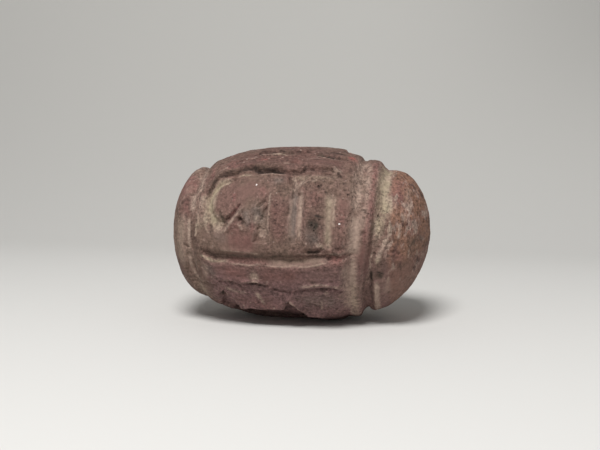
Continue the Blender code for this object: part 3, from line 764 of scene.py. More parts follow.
# Where old soil, dust and stains lie on the front, and painted shade, highlight and light: width, amount and
# the points (u, s) of each stroke
tints = {
    # pale soil and dust; the thin pale lines along ridges, lips and ledges are partly painted highlight
    "soilAndHighlight": [
        (2.3, 1.0, (-15.0, 17.4), (-17.0, 16.6), (-18.4, 15.0), (-19.2, 12.6), (-19.4, 10.0), (-19.1, 7.8)),
        (1.6, 0.7, (-20.6, 13.0), (-20.9, 9.0), (-20.6, 4.6)),
        (2.6, 0.45, (-22.4, 14.0), (-22.4, 3.0)),
        (1.0, 0.5, (-18.4, 21.0), (-16.4, 21.6)),
        (1.2, 0.45, (-18.8, 23.6), (-17.0, 24.4)),
        # thin pale lines on the top band: partly dust, partly painted highlight along its ledges
        (0.4, 0.9, (-9.2, 25.3), (-3.0, 25.2), (0.6, 25.3)),
        (0.5, 0.8, (5.0, 25.2), (7.0, 24.5), (9.6, 23.9), (12.4, 24.2)),
        (0.35, 0.6, (-14.6, 22.4), (-10.0, 22.7)),
        (0.35, 0.6, (-13.4, 24.2), (-9.0, 24.3)),
        (0.35, 0.5, (2.6, 23.2), (7.6, 23.4)),
        (0.35, 0.5, (-2.6, 20.9), (1.0, 20.8)),
        (1.1, 0.7, (0.4, 17.0), (1.2, 15.0), (2.0, 13.4)),
        (0.8, 0.6, (4.0, 17.0), (2.8, 15.4), (2.0, 13.6)),
        (3.2, 0.85, (-19.1, 7.8), (-18.4, 5.8), (-17.2, 4.6), (-15.8, 4.2)),
        (2.4, 0.8, (-17.8, 4.4), (-16.8, 3.0)),
        # partly dust, partly painted highlight on the ridge below the top band's edge
        (0.9, 0.7, (-13.2, 17.9), (-11.4, 18.3), (-9.8, 18.1)),
        (0.5, 0.6, (-9.0, 17.5), (-1.0, 17.6)),
        (0.9, 0.75, (-11.2, 8.2), (-12.5, 6.4), (-13.8, 5.0), (-15.2, 3.1), (-16.3, 2.3)),
        (0.6, 0.6, (-11.9, 4.7), (-11.2, 3.8), (-10.7, 3.1)),
        (2.2, 0.55, (-6.4, 3.6), (-6.2, 1.4)),
        (1.2, 0.8, (-6.8, 2.6), (-6.2, 2.0), (-5.8, 1.4)),
        (1.0, 0.7, (-5.2, 3.4), (-5.1, 2.0)),
        # partly dust, partly painted highlight on the lit right wall of the small recess
        (0.6, 0.6, (-4.6, 12.6), (-4.3, 9.0), (-4.5, 5.0), (-4.6, 0.8)),
        (1.6, 0.35, (-7.6, 6.4), (-5.6, 3.4)),
        (0.7, 0.7, (-16.4, -15.0), (-15.2, -17.4), (-14.2, -19.6)),
        # partly dust, partly painted light: the left end is paled as if lit from the left
        (3.4, 0.5, (-27.4, 8.0), (-27.6, -10.0)),
        (1.2, 0.9, (2.9, 12.4), (2.9, 7.0), (2.8, 1.2)),
        (0.7, 0.5, (0.7, 11.4), (0.7, 1.4)),
        (1.0, 0.6, (0.6, 13.8), (1.4, 12.8)),
        (1.8, 0.65, (9.6, 12.4), (9.7, -0.6)),
        (0.8, 0.7, (10.8, 11.8), (10.8, 4.0)),
        (2.2, 0.35, (0.6, 16.6), (5.0, 17.0), (11.4, 17.2)),
        (1.2, 0.6, (9.8, 19.2), (11.8, 19.0)),
        (0.7, 0.5, (1.8, 12.9), (2.6, 14.4), (4.4, 15.4), (6.6, 15.6)),
        (3.2, 0.62, (16.6, 30.0), (16.0, 22.0), (15.9, 14.0), (15.9, 8.0)),
        (3.2, 0.8, (15.7, 8.0), (15.5, 2.0), (15.0, -3.0)),
        (3.0, 0.6, (14.2, -4.6), (13.8, -9.0), (13.8, -14.0), (14.0, -22.0)),
        (2.2, 0.8, (15.2, -3.0), (14.9, -9.0), (14.8, -14.0), (14.8, -28.0)),
        (2.3, 1.25, (22.0, 32.0), (21.8, 24.0), (21.8, 16.0)),
        (3.0, 1.2, (21.9, 16.0), (22.4, 12.0), (22.2, 9.0)),
        (2.6, 0.75, (21.4, 9.0), (21.0, 5.0), (20.6, 1.0)),
        (2.8, 0.5, (17.8, 27.0), (17.7, 14.0), (17.3, 4.0)),
        (1.2, 0.5, (20.6, 28.0), (20.5, 12.0), (20.2, 6.0)),
        (1.3, 0.95, (22.8, 1.6), (22.0, -1.0), (21.2, -3.6), (20.5, -6.2)),
        (0.5, 0.7, (19.5, -3.0), (19.1, -5.0), (18.8, -8.6)),
        (1.5, 0.9, (20.3, -13.8), (20.2, -18.0), (20.2, -27.0)),
        # thin pale lines along the long furrow's lips: partly dust, partly painted highlight
        (0.6, 0.7, (-22.2, -4.2), (-20.4, -5.0), (-18.4, -5.6), (-16.4, -5.3), (-14.8, -5.0)),
        (0.45, 0.6, (-14.0, -5.4), (-10.0, -5.6), (-6.0, -5.0)),
        (1.6, 0.3, (-4.8, -4.6), (-1.0, -4.6), (3.0, -4.4), (6.0, -4.1), (9.4, -3.7)),
        (0.45, 0.55, (-5.4, -5.3), (-1.0, -5.4), (4.0, -5.3), (7.4, -4.9), (9.6, -4.2)),
        (0.5, 0.4, (-17.0, -2.2), (-6.0, -2.5)),
        (0.5, 0.5, (2.0, -2.2), (13.6, -2.3)),
        (1.0, 0.8, (-24.8, 25.0), (-24.4, 22.4)),
        (2.0, 0.7, (-23.4, 26.0), (-22.9, 20.0), (-22.8, 14.0)),
        (2.2, 0.7, (-24.6, 15.0), (-24.2, 9.0)),
        (2.2, 0.6, (-21.8, 13.4), (-21.6, 9.0)),
        (1.0, 0.85, (-25.3, 6.4), (-25.2, 2.0), (-25.0, -4.0)),
        (0.6, 0.8, (-22.9, 5.0), (-23.2, 1.0)),
        (0.8, 0.5, (-21.0, 5.0), (-19.4, 2.0)),
        (0.9, 0.85, (-25.2, -5.5), (-25.0, -9.0), (-24.7, -11.6), (-23.6, -13.4), (-22.2, -13.4)),
        (0.6, 0.5, (-23.4, -6.5), (-23.4, -11.0)),
        (1.8, 0.5, (-21.0, -6.6), (-20.8, -11.0)),
        (3.4, 0.5, (-23.6, -15.5), (-22.6, -22.0)),
        # pale strokes on edges and facets below the furrow and at the lower teeth: partly dust, partly
        # painted highlight
        (1.1, 0.9, (-8.1, -13.2), (-7.3, -14.6), (-6.5, -16.4)),
        (1.4, 0.45, (-15.6, -13.2), (-12.6, -13.8), (-10.6, -13.6)),
        (0.5, 0.8, (-16.4, -11.0), (-14.2, -10.3), (-12.9, -10.7)),
        (0.5, 0.85, (-11.2, -10.4), (-8.0, -9.9), (-5.2, -10.5)),
        (0.9, 0.55, (2.6, -10.6), (7.6, -10.0), (11.0, -10.8), (12.4, -12.4)),
        (2.0, 0.85, (-8.3, -7.4), (-8.2, -9.4)),
        (0.6, 0.6, (7.4, -15.2), (7.3, -18.4)),
        (0.5, 1.0, (-0.4, -15.0), (1.0, -16.8), (1.9, -17.9)),
        (0.5, 0.7, (-16.2, -15.4), (-15.5, -18.2)),
        (0.9, 0.7, (8.4, -12.6), (9.1, -12.9)),
        (2.0, 0.3, (4.8, -15.4), (6.6, -17.0)),
        (0.8, 0.8, (25.8, 6.2), (25.7, 1.4)),
        (1.8, 0.4, (27.4, 22.0), (27.2, 12.0)),
        (1.8, 0.4, (26.4, 10.0), (26.8, 7.0)),
        (2.6, 0.35, (22.6, -13.8), (22.8, -18.0)),
        (1.4, 0.4, (24.6, 14.0), (24.4, 11.0)),
        (1.2, 1.0, (7.2, 0.2), (8.6, -0.8)),
    ],
    "olive": [
        (4.0, 1.0, (-16.4, 17.0), (-19.0, 13.0), (-19.4, 7.0), (-17.4, 4.0)),
        (4.5, 0.6, (-22.2, 5.4), (-20.8, 1.0)),
        # olive under the lump's lower left edge, part of its painted shadow
        (3.0, 0.9, (-17.4, 8.0), (-15.6, 5.4)),
        (2.4, 0.9, (-13.0, 18.2), (-10.0, 18.2)),
        (4.4, 0.8, (-8.2, 8.0), (-6.0, 6.6)),
        (2.6, 0.6, (-17.0, -3.6), (4.0, -2.8)),
        (2.4, 0.5, (-4.0, -4.6), (8.0, -4.2)),
        (1.6, 0.8, (-22.4, -4.2), (-18.4, -5.6), (-14.8, -5.0)),
        (4.2, 0.9, (21.8, 32.0), (21.4, 20.0), (21.8, 10.0), (21.0, 2.0)),
        (2.6, 0.6, (9.4, 12.0), (9.6, -1.4)),
        (3.6, 0.7, (5.6, 5.8), (7.4, 3.0)),
        (3.0, 0.7, (28.8, 2.0), (28.6, -6.0)),
        (5.0, 0.6, (-23.6, -15.0), (-23.0, -24.0)),
        (5.0, 0.5, (-29.6, 6.0), (-29.6, -10.0)),
        (4.0, 0.5, (-25.4, 27.0), (-24.8, 24.0)),
        (3.4, 0.9, (-4.8, 26.4), (-0.8, 26.0)),
        (3.0, 0.6, (-4.8, 22.6), (-2.0, 22.0)),
        (2.4, 0.6, (5.0, 26.0), (8.0, 25.2)),
        (2.6, 0.6, (1.0, 16.8), (9.0, 17.0)),
        (3.0, 0.5, (26.6, -7.4), (27.4, -10.0)),
        (3.2, 0.9, (20.4, -10.8), (21.4, -12.2)),
        (2.0, 0.8, (21.0, -5.0), (20.6, -9.4)),
        (4.0, 0.6, (17.0, -12.0), (16.4, -20.0)),
    ],
    "ruddy": [
        (8.0, 0.6, (-16.5, 23.6), (12.5, 24.0)),
        (5.0, 0.9, (-17.5, 22.6), (-7.5, 22.8)),
        (4.0, 0.8, (-12.0, 25.6), (-9.0, 25.4)),
        (2.0, 1.0, (-8.4, 23.2), (-6.8, 23.0)),
        (1.8, 1.0, (-15.4, 20.8), (-8.6, 21.0)),
        (3.6, 0.9, (0.2, 24.0), (1.2, 20.6)),
        (3.4, 0.6, (3.6, 21.8), (11.6, 21.8)),
        (2.0, 1.0, (13.0, 26.2), (14.2, 25.8)),
        (6.0, 1.0, (-28.4, 25.0), (-27.2, 15.0)),
        (4.6, 0.9, (-14.5, 0.8), (-8.0, 0.6)),
        (3.0, 0.7, (-26.8, 13.0), (-26.8, 8.0)),
        (1.2, 0.8, (-20.6, 24.0), (-20.0, 18.6)),
        (3.0, 0.6, (-2.6, 8.6), (-1.8, 1.0)),
        (3.6, 0.6, (5.8, 12.6), (5.6, 8.4)),
        (3.0, 0.5, (13.0, 12.0), (13.0, 2.0)),
        (2.0, 0.6, (10.2, -4.0), (13.6, -3.9)),
        (1.8, 0.9, (19.2, 28.0), (19.1, 16.0), (18.9, 8.0), (18.2, 2.0), (17.6, -4.0), (17.3, -9.0)),
        (4.2, 0.9, (-15.4, -7.6), (-9.8, -7.8)),
        (4.2, 0.8, (-6.4, -7.6), (2.0, -7.8)),
        (1.5, 1.0, (-14.0, -4.7), (-5.2, -4.6)),
        (0.9, 1.0, (-11.9, 9.4), (-13.8, 6.8)),
        (0.8, 0.7, (-13.4, 12.6), (-13.4, 10.0)),
        (2.0, 0.6, (-6.6, 13.4), (-5.8, 11.4)),
        (2.4, 0.6, (-8.8, 4.6), (-7.8, 2.4)),
        (3.0, 0.8, (24.8, 24.0), (24.8, 12.0)),
        (2.6, 0.7, (24.4, -2.4), (25.6, -6.0)),
        (2.0, 0.4, (28.0, 8.0), (28.4, 2.0)),
        (4.0, 0.4, (-13.0, -16.0), (-4.0, -17.0)),
    ],
    "deep": [
        (10.0, 1.6, (-15.0, 25.0), (12.0, 25.0)),
        (3.0, 0.7, (-16.0, 27.0), (12.0, 28.0)),
        (4.0, 0.7, (-2.4, 13.0), (-1.8, 1.0)),
        (4.0, 0.6, (5.8, 13.0), (6.0, 1.0)),
        (6.0, 0.5, (-14.0, 0.0), (-6.0, -0.6)),
        (5.0, 0.5, (-14.0, -8.2), (12.0, -8.0)),
        (1.6, 1.1, (-14.0, -4.7), (-5.2, -4.6)),
        (3.0, 0.5, (24.6, 8.0), (24.2, -8.0)),
        (2.4, 0.6, (-26.4, 16.0), (-26.6, 4.0)),
        (1.6, 0.5, (-23.8, 8.0), (-23.9, -6.0)),
    ],
    "grey": [
        (1.6, 1.0, (1.6, 12.4), (1.5, 1.4)),
        (3.0, 0.7, (-8.0, 8.6), (-6.2, 4.6)),
        (2.4, 0.6, (-10.0, 8.0), (-9.4, 4.4)),
        (3.0, 0.8, (5.2, 2.6), (6.8, 0.4)),
        (2.0, 0.6, (-4.0, 15.6), (-1.8, 15.8)),
        (2.4, 0.5, (-18.0, 2.0), (-15.0, 0.6)),
        (2.6, 0.6, (-20.0, -7.0), (-19.0, -10.0)),
        (5.0, 0.5, (3.0, -15.0), (11.0, -16.0)),
    ],
    # dark stains, cracks and pits, and painted shade in undercuts, hollows and furrows and under the seal
    "darkAndShade": [
        # painted shade in the groove under the top band's overhanging edge, over dark soil there
        (0.6, 0.75, (-20.4, 14.0), (-19.5, 16.2), (-18.5, 18.2)),
        (0.7, 0.8, (-18.4, 18.4), (-17.0, 18.9), (-15.8, 19.2), (-13.8, 18.9)),
        (0.5, 0.75, (-14.0, 18.9), (-12.0, 19.4), (-9.6, 19.6)),
        (0.95, 0.95, (-9.8, 19.6), (-8.2, 19.1), (-5.4, 19.1), (-3.4, 18.9)),
        (0.8, 0.85, (-5.2, 19.0), (-2.6, 18.7), (-1.6, 18.4)),
        (0.8, 0.6, (-6.1, 20.8), (-5.4, 19.6)),
        (0.4, 0.5, (-1.2, 18.2), (1.8, 18.1)),
        (0.6, 0.7, (2.0, 18.3), (3.0, 18.9), (3.4, 19.9)),
        (0.6, 0.75, (3.4, 19.4), (6.2, 19.2), (8.8, 19.5)),
        (0.9, 0.35, (4.0, 19.0), (8.6, 19.0)),
        (0.6, 0.75, (10.8, 18.6), (11.9, 17.5)),
        (0.45, 0.5, (12.6, 17.6), (13.6, 17.2)),
        # partly dark soil in the top band's cracks, partly painted shade at the foot of its ledges
        (0.7, 0.7, (-6.9, 26.4), (-5.0, 25.8)),
        (1.8, 0.4, (-4.6, 26.4), (-1.2, 26.2)),
        (0.6, 0.7, (-2.4, 25.6), (0.8, 26.0)),
        (0.9, 0.8, (5.2, 26.0), (6.6, 25.6)),
        (0.5, 1.0, (5.0, 25.8), (6.6, 25.3), (8.6, 24.8), (10.4, 24.6), (12.4, 24.8)),
        (0.5, 0.7, (8.8, 25.0), (9.4, 24.2)),
        (0.8, 0.35, (-2.6, 22.8), (-0.8, 21.6)),
        (0.5, 0.7, (-9.4, 25.8), (-7.0, 26.6)),
        (0.6, 0.6, (-14.0, 25.4), (-11.6, 25.8)),
        (1.2, 0.5, (-6.8, 28.4), (-1.0, 28.6)),
        (0.9, 0.6, (8.0, 27.6), (12.4, 27.2)),
        (0.5, 0.6, (-0.6, 22.9), (2.0, 22.6)),
        (0.4, 0.6, (4.6, 22.8), (8.4, 22.6)),
        (0.7, 0.5, (14.0, 21.4), (13.8, 19.4)),
        (0.45, 0.5, (-16.3, 15.5), (-15.0, 16.2)),
        (0.7, 0.8, (8.7, 12.8), (8.9, 12.2)),
        (0.5, 0.7, (9.6, 12.9), (9.8, 12.4)),
        (0.5, 0.6, (9.1, 14.4), (9.3, 13.9)),
        (0.6, 0.7, (13.4, 14.1), (12.8, 13.6)),
        (0.5, 0.5, (15.2, 16.6), (14.4, 16.3)),
        (0.5, 0.75, (-11.8, 9.3), (-12.6, 8.0), (-13.4, 7.0), (-14.0, 6.4)),
        # painted shadow along the lump's lower left edge
        (1.2, 0.45, (-16.8, 7.4), (-15.8, 5.6), (-14.6, 5.3)),
        (0.8, 0.85, (-11.8, 6.2), (-10.8, 5.8)),
        (0.6, 0.8, (-11.2, 5.2), (-10.6, 4.6)),
        (0.5, 0.7, (-12.2, 5.6), (-11.8, 5.2)),
        (0.45, 0.75, (-5.6, 10.2), (-6.4, 9.2), (-7.2, 8.7)),
        (2.6, 0.35, (-7.2, 8.0), (-5.8, 6.6)),
        (0.7, 0.6, (-6.4, 6.9), (-5.4, 6.4)),
        (0.6, 0.5, (-5.4, 5.4), (-5.1, 5.0)),
        (0.8, 0.45, (-8.5, 15.4), (-7.4, 15.2)),
        (0.45, 0.6, (-5.5, 13.9), (-5.3, 13.6)),
        (1.1, 0.35, (-4.4, 15.4), (-3.0, 16.0)),
        (1.0, 0.45, (0.2, 9.0), (0.4, 7.6), (0.1, 6.8)),
        (3.6, 0.8, (5.6, 5.4), (6.4, 4.4), (7.4, 3.8)),
        (0.8, 0.95, (6.6, 6.9), (7.4, 6.6), (8.1, 6.5)),
        (1.0, 0.9, (5.0, 5.8), (5.4, 4.8)),
        (1.2, 0.95, (5.8, 3.8), (7.0, 3.6)),
        (0.6, 0.8, (8.3, 4.4), (8.5, 3.6)),
        (3.0, 0.6, (5.6, 2.4), (6.9, 1.0)),
        (0.6, 0.8, (6.0, 2.3), (6.6, 2.0)),
        (0.6, 0.8, (7.6, 1.6), (8.0, 1.2)),
        (0.9, 0.9, (6.6, 3.0), (7.4, 2.2)),
        (0.5, 0.8, (5.6, 0.9), (6.0, 0.6)),
        (0.95, 1.0, (4.4, -1.7), (6.4, -1.85), (8.2, -1.6)),
        (0.6, 0.9, (8.0, -1.2), (8.3, -0.6)),
        (0.6, 0.6, (4.4, -3.2), (5.2, -3.2)),
        # painted shade on the long furrow's upper wall, at its right
        (0.6, 0.5, (8.8, -2.6), (14.2, -2.4)),
        (1.4, 0.35, (11.8, -0.6), (13.0, -0.8)),
        # painted shade on the long furrow's upper wall, at its left and middle
        (1.2, 0.6, (-20.6, -3.0), (-18.4, -3.7), (-16.0, -3.6), (-10.0, -3.4), (-5.0, -3.4)),
        (0.6, 0.65, (-20.6, -3.2), (-19.2, -3.9), (-17.8, -4.7)),
        (0.9, 0.6, (-4.8, -3.4), (0.0, -3.0), (5.0, -2.9), (8.6, -2.9)),
        (0.6, 0.6, (-11.7, -5.9), (-11.1, -6.0)),
        (0.6, 0.5, (-25.8, -2.8), (-25.0, -3.2)),
        (0.5, 0.5, (-24.6, 6.0), (-24.5, 1.0), (-24.4, -2.0)),
        (0.6, 0.4, (-25.7, 13.6), (-25.4, 9.0)),
        (0.9, 0.45, (-23.4, 6.4), (-23.3, 5.2)),
        (0.45, 0.5, (-19.3, 4.2), (-18.9, 3.0), (-19.2, 2.0)),
        (0.6, 0.5, (-18.6, 8.0), (-18.0, 6.6)),
        # painted shade under the lips of the scored lines below the furrow, with their dark grooves
        (1.1, 0.35, (-16.4, -11.3), (-13.4, -11.2)),
        (0.9, 0.75, (-12.4, -11.2), (-11.2, -12.5)),
        (0.5, 0.8, (-11.0, -10.9), (-8.6, -10.7), (-6.8, -10.8), (-5.0, -11.3)),
        (1.2, 0.4, (-10.6, -11.3), (-5.2, -11.5)),
        (2.0, 0.25, (-9.4, -12.6), (-6.2, -12.8)),
        (0.6, 0.65, (-4.4, -12.0), (3.4, -11.9)),
        (0.7, 0.7, (3.4, -11.8), (10.2, -11.6), (12.4, -12.7)),
        (0.7, 0.5, (-21.4, -13.4), (-19.8, -13.8), (-18.2, -12.6)),
        # painted shadow in the hollows of the lower teeth, in the notch at one tip and on the underside
        # below
        (1.1, 0.9, (-16.9, -15.6), (-17.8, -17.4)),
        (2.2, 0.5, (-17.4, -17.4), (-18.4, -20.0)),
        (5.0, 0.75, (-13.0, -23.4), (-9.0, -21.9), (-1.2, -21.4)),
        (1.8, 0.7, (-0.8, -17.4), (0.2, -19.6)),
        (0.8, 0.5, (5.4, -9.3), (6.2, -9.4)),
        (0.6, 0.5, (5.2, -16.8), (6.8, -18.6), (7.2, -19.8)),
        (0.7, 0.85, (19.1, -9.4), (18.9, -11.8), (19.1, -13.6)),
        (0.5, 0.6, (18.9, -14.4), (18.8, -27.0)),
        (1.0, 0.75, (19.9, -10.0), (21.2, -10.2), (22.2, -10.9)),
        (2.2, 0.55, (20.8, -11.4), (21.8, -11.8)),
        (0.6, 0.85, (21.2, 15.9), (21.6, 15.6)),
        (0.4, 0.6, (-0.6, 17.0), (0.5, 15.4), (1.0, 13.6), (0.7, 10.4)),
        (0.4, 0.6, (3.8, 11.6), (3.8, 1.6)),
        (0.4, 0.4, (1.6, 13.2), (2.6, 14.6), (4.4, 15.6)),
        (0.8, 0.6, (23.1, 21.0), (23.0, 20.2)),
        (1.0, 0.5, (23.6, 6.2), (23.8, 5.2)),
        (0.5, 0.6, (20.3, -0.8), (20.4, -1.4)),
        (0.5, 0.5, (22.0, 17.6), (22.1, 17.0)),
        (0.6, 0.5, (21.3, 11.4), (21.5, 10.8)),
        (0.8, 0.6, (16.8, 9.5), (17.4, 9.3)),
        (0.9, 0.4, (19.6, 7.0), (19.4, 3.0), (19.0, -1.0)),
        (2.0, 0.35, (17.8, 1.0), (17.6, -9.0)),
        (2.6, 0.2, (16.8, -11.0), (16.9, -16.0)),
        (1.2, 0.6, (28.7, 0.4), (28.7, -2.0)),
        (0.5, 0.4, (24.5, -18.8), (25.6, -19.8)),
        (0.7, 0.6, (28.8, -7.6), (28.9, -8.4)),
        (2.0, 0.3, (22.8, -2.2), (23.8, -6.0)),
    ],
    "smooth": [
        (2.0, 0.6, (21.8, 26.0), (21.8, 12.0)),
        (3.0, 0.5, (14.2, -6.0), (14.2, -20.0)),
        (2.4, 0.9, (-4.0, -4.6), (9.0, -4.2)),
        (2.4, 0.8, (1.0, 12.0), (1.0, 1.0)),
        (2.0, 0.9, (2.8, 12.4), (2.8, 1.2)),
        (2.6, 0.8, (9.8, 12.0), (9.9, 0.0)),
        (2.2, 0.7, (-17.4, 16.6), (-19.2, 12.8), (-19.2, 8.4), (-17.4, 4.6)),
        (9.0, 1.0, (-12.0, 14.0), (-8.0, 12.0)),
        (8.0, 1.0, (-17.0, -0.4), (-7.0, -0.4)),
        (4.0, 0.6, (-18.6, 14.0), (-19.2, 8.0)),
        (5.0, 0.8, (-18.0, -8.0), (-10.0, -8.2)),
        (4.0, 0.6, (-8.0, -8.2), (12.0, -8.2)),
        (3.0, 0.7, (3.6, 22.0), (11.6, 22.0)),
        (4.5, 0.8, (12.8, 12.0), (13.0, 8.6)),
        (3.0, 0.9, (16.2, 8.0), (15.6, -4.0), (14.9, -12.0)),
        (2.6, 1.0, (17.9, 0.0), (17.6, -9.0)),
        (12.0, 0.9, (24.0, -8.0), (25.0, -22.0)),
        (5.0, 0.7, (-21.8, 4.0), (-21.2, 0.0)),
        (8.0, 0.7, (-27.4, 6.0), (-27.6, -12.0)),
        (6.0, 0.6, (-27.8, 20.0), (-28.0, 14.0)),
        (5.0, 0.6, (-20.4, -9.0), (-21.6, -12.0)),
    ],
    "speckled": [
        (4.0, 1.0, (6.6, 11.0), (6.2, 0.6)),
        (3.0, 0.6, (4.8, 14.6), (8.4, 14.0)),
        (3.0, 0.6, (-6.6, 15.6), (-2.6, 15.6)),
        (4.4, 0.7, (10.0, 20.0), (13.4, 16.0), (14.6, 9.0)),
        (3.0, 0.5, (16.4, 11.0), (17.0, 9.0)),
        (3.2, 0.6, (18.6, 14.0), (18.2, 5.0)),
        (3.4, 0.8, (21.4, 9.0), (21.0, 2.0)),
        (3.0, 0.6, (18.6, 22.0), (18.6, 14.0)),
        (1.6, 0.5, (22.6, 19.0), (22.8, 13.0)),
        (4.0, 0.4, (-22.0, 12.0), (-22.0, 7.0)),
        (6.0, 0.5, (26.0, 10.0), (25.0, -2.0)),
        (3.0, 0.6, (-7.0, 8.0), (-6.0, 6.0)),
        (3.0, 0.5, (-11.0, 5.4), (-9.0, 4.0)),
        (2.0, 0.6, (9.2, 14.0), (9.4, 11.0)),
    ],
    "fresh": [
        (1.6, 0.8, (13.1, 26.0), (14.2, 25.6)),
        (1.6, 0.25, (-8.2, 23.2), (-6.8, 23.0)),
        (1.6, 0.25, (0.2, 22.6), (0.6, 22.0)),
        (1.6, 0.15, (10.6, -3.8), (13.0, -3.9)),
    ],
    "quartz": [
        (0.6, 1.0, (-8.2, 14.4), (-7.8, 14.4)),
        (0.4, 0.9, (-4.0, 10.2), (-3.95, 10.1)),
        (0.5, 1.0, (12.0, 5.1), (12.5, 5.0)),
        (0.4, 0.9, (18.1, 1.4), (18.2, 1.4)),
        (0.5, 0.6, (-22.9, 6.6), (-22.5, 6.5)),
        (0.5, 0.8, (7.3, -0.1), (7.5, -0.4)),
        (0.4, 0.8, (5.4, -1.0), (5.5, -1.1)),
        (0.4, 0.8, (8.3, -0.6), (8.5, -0.7)),
        (0.5, 0.6, (-13.2, 3.9), (-13.0, 3.8)),
    ],
}


# How dirt and colour settle. A value named From is the middle and the width of a ramp
settling = {
    "wander": (0.22, 1.3),  # how far the edges of stains stray, and the size of that
    "frontFrom": (0.1, 0.8),  # cosine of theta where the front begins
    "lowFrom": (14.5, 4.0),  # how far down the front its lowest part begins, and its lower half
    "belowFrom": (6.0, 8.0),
    "patches": (3.0, 0.3, 0.15),  # size of the patches of settled soil, their share and that of the streaks
    "settledFrom": (0.55, 0.9),  # how deep a place lies, in millimetres, before soil stays in it
    "settledSoil": (0.75, 0.5, 0.75),  # its amount behind, how much less it is in front, share lost low down
    "dustFrom": (24.0, 5.0),  # how far to the left the dust on the left end begins
    "dust": (0.4, 4.0, 0.15, 0.8),  # its amount, the size of its patches, and the ramp that parts them
    "edgeFrom": (0.12, 0.2),  # how much was worn off where an edge turns pale
    "mauveFrom": (-20.0, 5.0),
    "mauveLoss": (15.0, 3.0, 0.5),  # from where there is less of it, how softly and how much less
    "rustFrom": (23.2, 1.8),
    "rustLossBelow": 0.6,
    "panelFade": 3.0,  # how softly the grain turns from upright on the panel to level
    "uprightFrom": (13.6, 2.0),  # to the right of here the grain runs upright, as on the panel
    "uprightLeftFrom": (21.0, 4.0),  # and this far to the left
    "mottledFrom": (22.5, 3.0),  # how far from the middle the ends are mottled
    "mottledLeft": 0.4,  # share of that at the left end
}


# Each named mask: the strokes of its tint, or ramps over the place, the depth of soil or the wear
def tintMasks(points, u, s, sunk, edge, streaks):
    fromFront = around(s, 0.0)
    wander, size = settling["wander"]
    markU = u + wander * layeredNoise(points, size, 101, 2)
    markS = fromFront + wander * layeredNoise(points, size, 111, 2)
    masks = {name: strokes(markU, markS, lines) for name, lines in tints.items()}
    front = rise(np.cos(s / carving["girthRadius"]), *settling["frontFrom"])
    low = rise(-fromFront, *settling["lowFrom"]) * front
    below = rise(-fromFront, *settling["belowFrom"]) * front
    size, patchShare, streakShare = settling["patches"]
    depth = sunk + patchShare * layeredNoise(points, size, 121, 3) + streakShare * streaks
    behind, lessInFront, lossLow = settling["settledSoil"]
    settled = rise(depth, *settling["settledFrom"]) * (1.0 - lossLow * low)
    masks["soilAndHighlight"] = np.maximum(masks["soilAndHighlight"], (behind - lessInFront * front) * settled)
    amount, size, dustEdge, softness = settling["dust"]
    patches = rise(layeredNoise(points, size, 131, 3), dustEdge, softness)
    masks["soilAndHighlight"] = np.maximum(masks["soilAndHighlight"], amount * rise(-u, *settling["dustFrom"]) * patches)
    masks["edge"] = rise(edge, *settling["edgeFrom"])
    lossEdge, softness, loss = settling["mauveLoss"]
    masks["mauve"] = below * rise(u, *settling["mauveFrom"]) * (1.0 - loss * rise(u, lossEdge, softness))
    masks["rust"] = rise(u, *settling["rustFrom"]) * (1.0 - settling["rustLossBelow"] * below)
    masks["upright"] = np.maximum.reduce([
        onPanel(fromFront, settling["panelFade"]),
        rise(u, *settling["uprightFrom"]),
        rise(-u, *settling["uprightLeftFrom"]),
    ])
    mottledLeft = settling["mottledLeft"] * rise(-u, *settling["mottledFrom"])
    masks["mottled"] = rise(u, *settling["mottledFrom"]) * (1.0 - low) + mottledLeft
    return masks


# The seal's faces and its places, side first and then the two caps, whose radius is that of the plain ends
def joinSkin():
    side = carvedSide()
    rings = len(side["length"])
    parts = [(side["length"].ravel(), side["theta"].ravel(), side["radius"].ravel())]
    faces = [sideFaces(rings)]
    count = rings * sectors
    for leftSide, rimStart in ((True, 0), (False, (rings - 1) * sectors)):
        ring, step, length, theta = capPlaces(leftSide)
        quads, inside = capFaces(ring, step, rimStart, count, leftSide)
        length, theta = length[inside], theta[inside]
        parts.append((length, theta, plainEnds(placeAt(length), theta)))
        faces.append(quads)
        count += len(length)
    length, theta, radius = (np.concatenate(part) for part in zip(*parts))
    onCaps = np.zeros(count - rings * sectors)
    sunk, edge = (np.append(side[name].ravel(), onCaps) for name in ("sunk", "edge"))
    return length, theta, radius, sunk, edge, np.concatenate(faces)


# The skin in place: each point moves out along the profile's normal by the relief, up by the ends' lift, and
# stays above the ground, where that leaves the flat spot
def sealMesh():
    length, theta, radius, sunk, edge, faces = joinSkin()
    u = placeAt(length)
    s = theta * carving["girthRadius"]
    points = cylinderPoints(u, theta, radius)
    alongAxis, outwards = (np.interp(length, profile[0], part) for part in profile[3])
    normal = cylinderPoints(alongAxis, theta, outwards)
    relief, pit, streaks = skinRelief(points, u, around(s, 0.0))
    masks = tintMasks(points, u, s, sunk, edge, streaks)
    masks["pit"] = pit
    points = points + normal * relief[:, None]
    points[:, 2] = np.maximum(points[:, 2] + blank["axisHeight"] + endLift(u), 0.0)
    mesh = bpy.data.meshes.new("clay_seal")
    mesh.vertices.add(len(points))
    mesh.vertices.foreach_set("co", (points * mm).ravel())
    mesh.loops.add(faces.size)
    mesh.loops.foreach_set("vertex_index", faces.ravel())
    mesh.polygons.add(len(faces))
    mesh.polygons.foreach_set("loop_start", np.arange(0, faces.size, 4))
    mesh.update(calc_edges=True)
    mesh.validate()
    mesh.shade_smooth()
    for name, values in masks.items():
        mesh.attributes.new(name, "FLOAT", "POINT").data.foreach_set("value", values.astype(np.float32))
    print("seal's skin:", len(mesh.vertices), "points,", len(mesh.polygons), "faces")
    return mesh


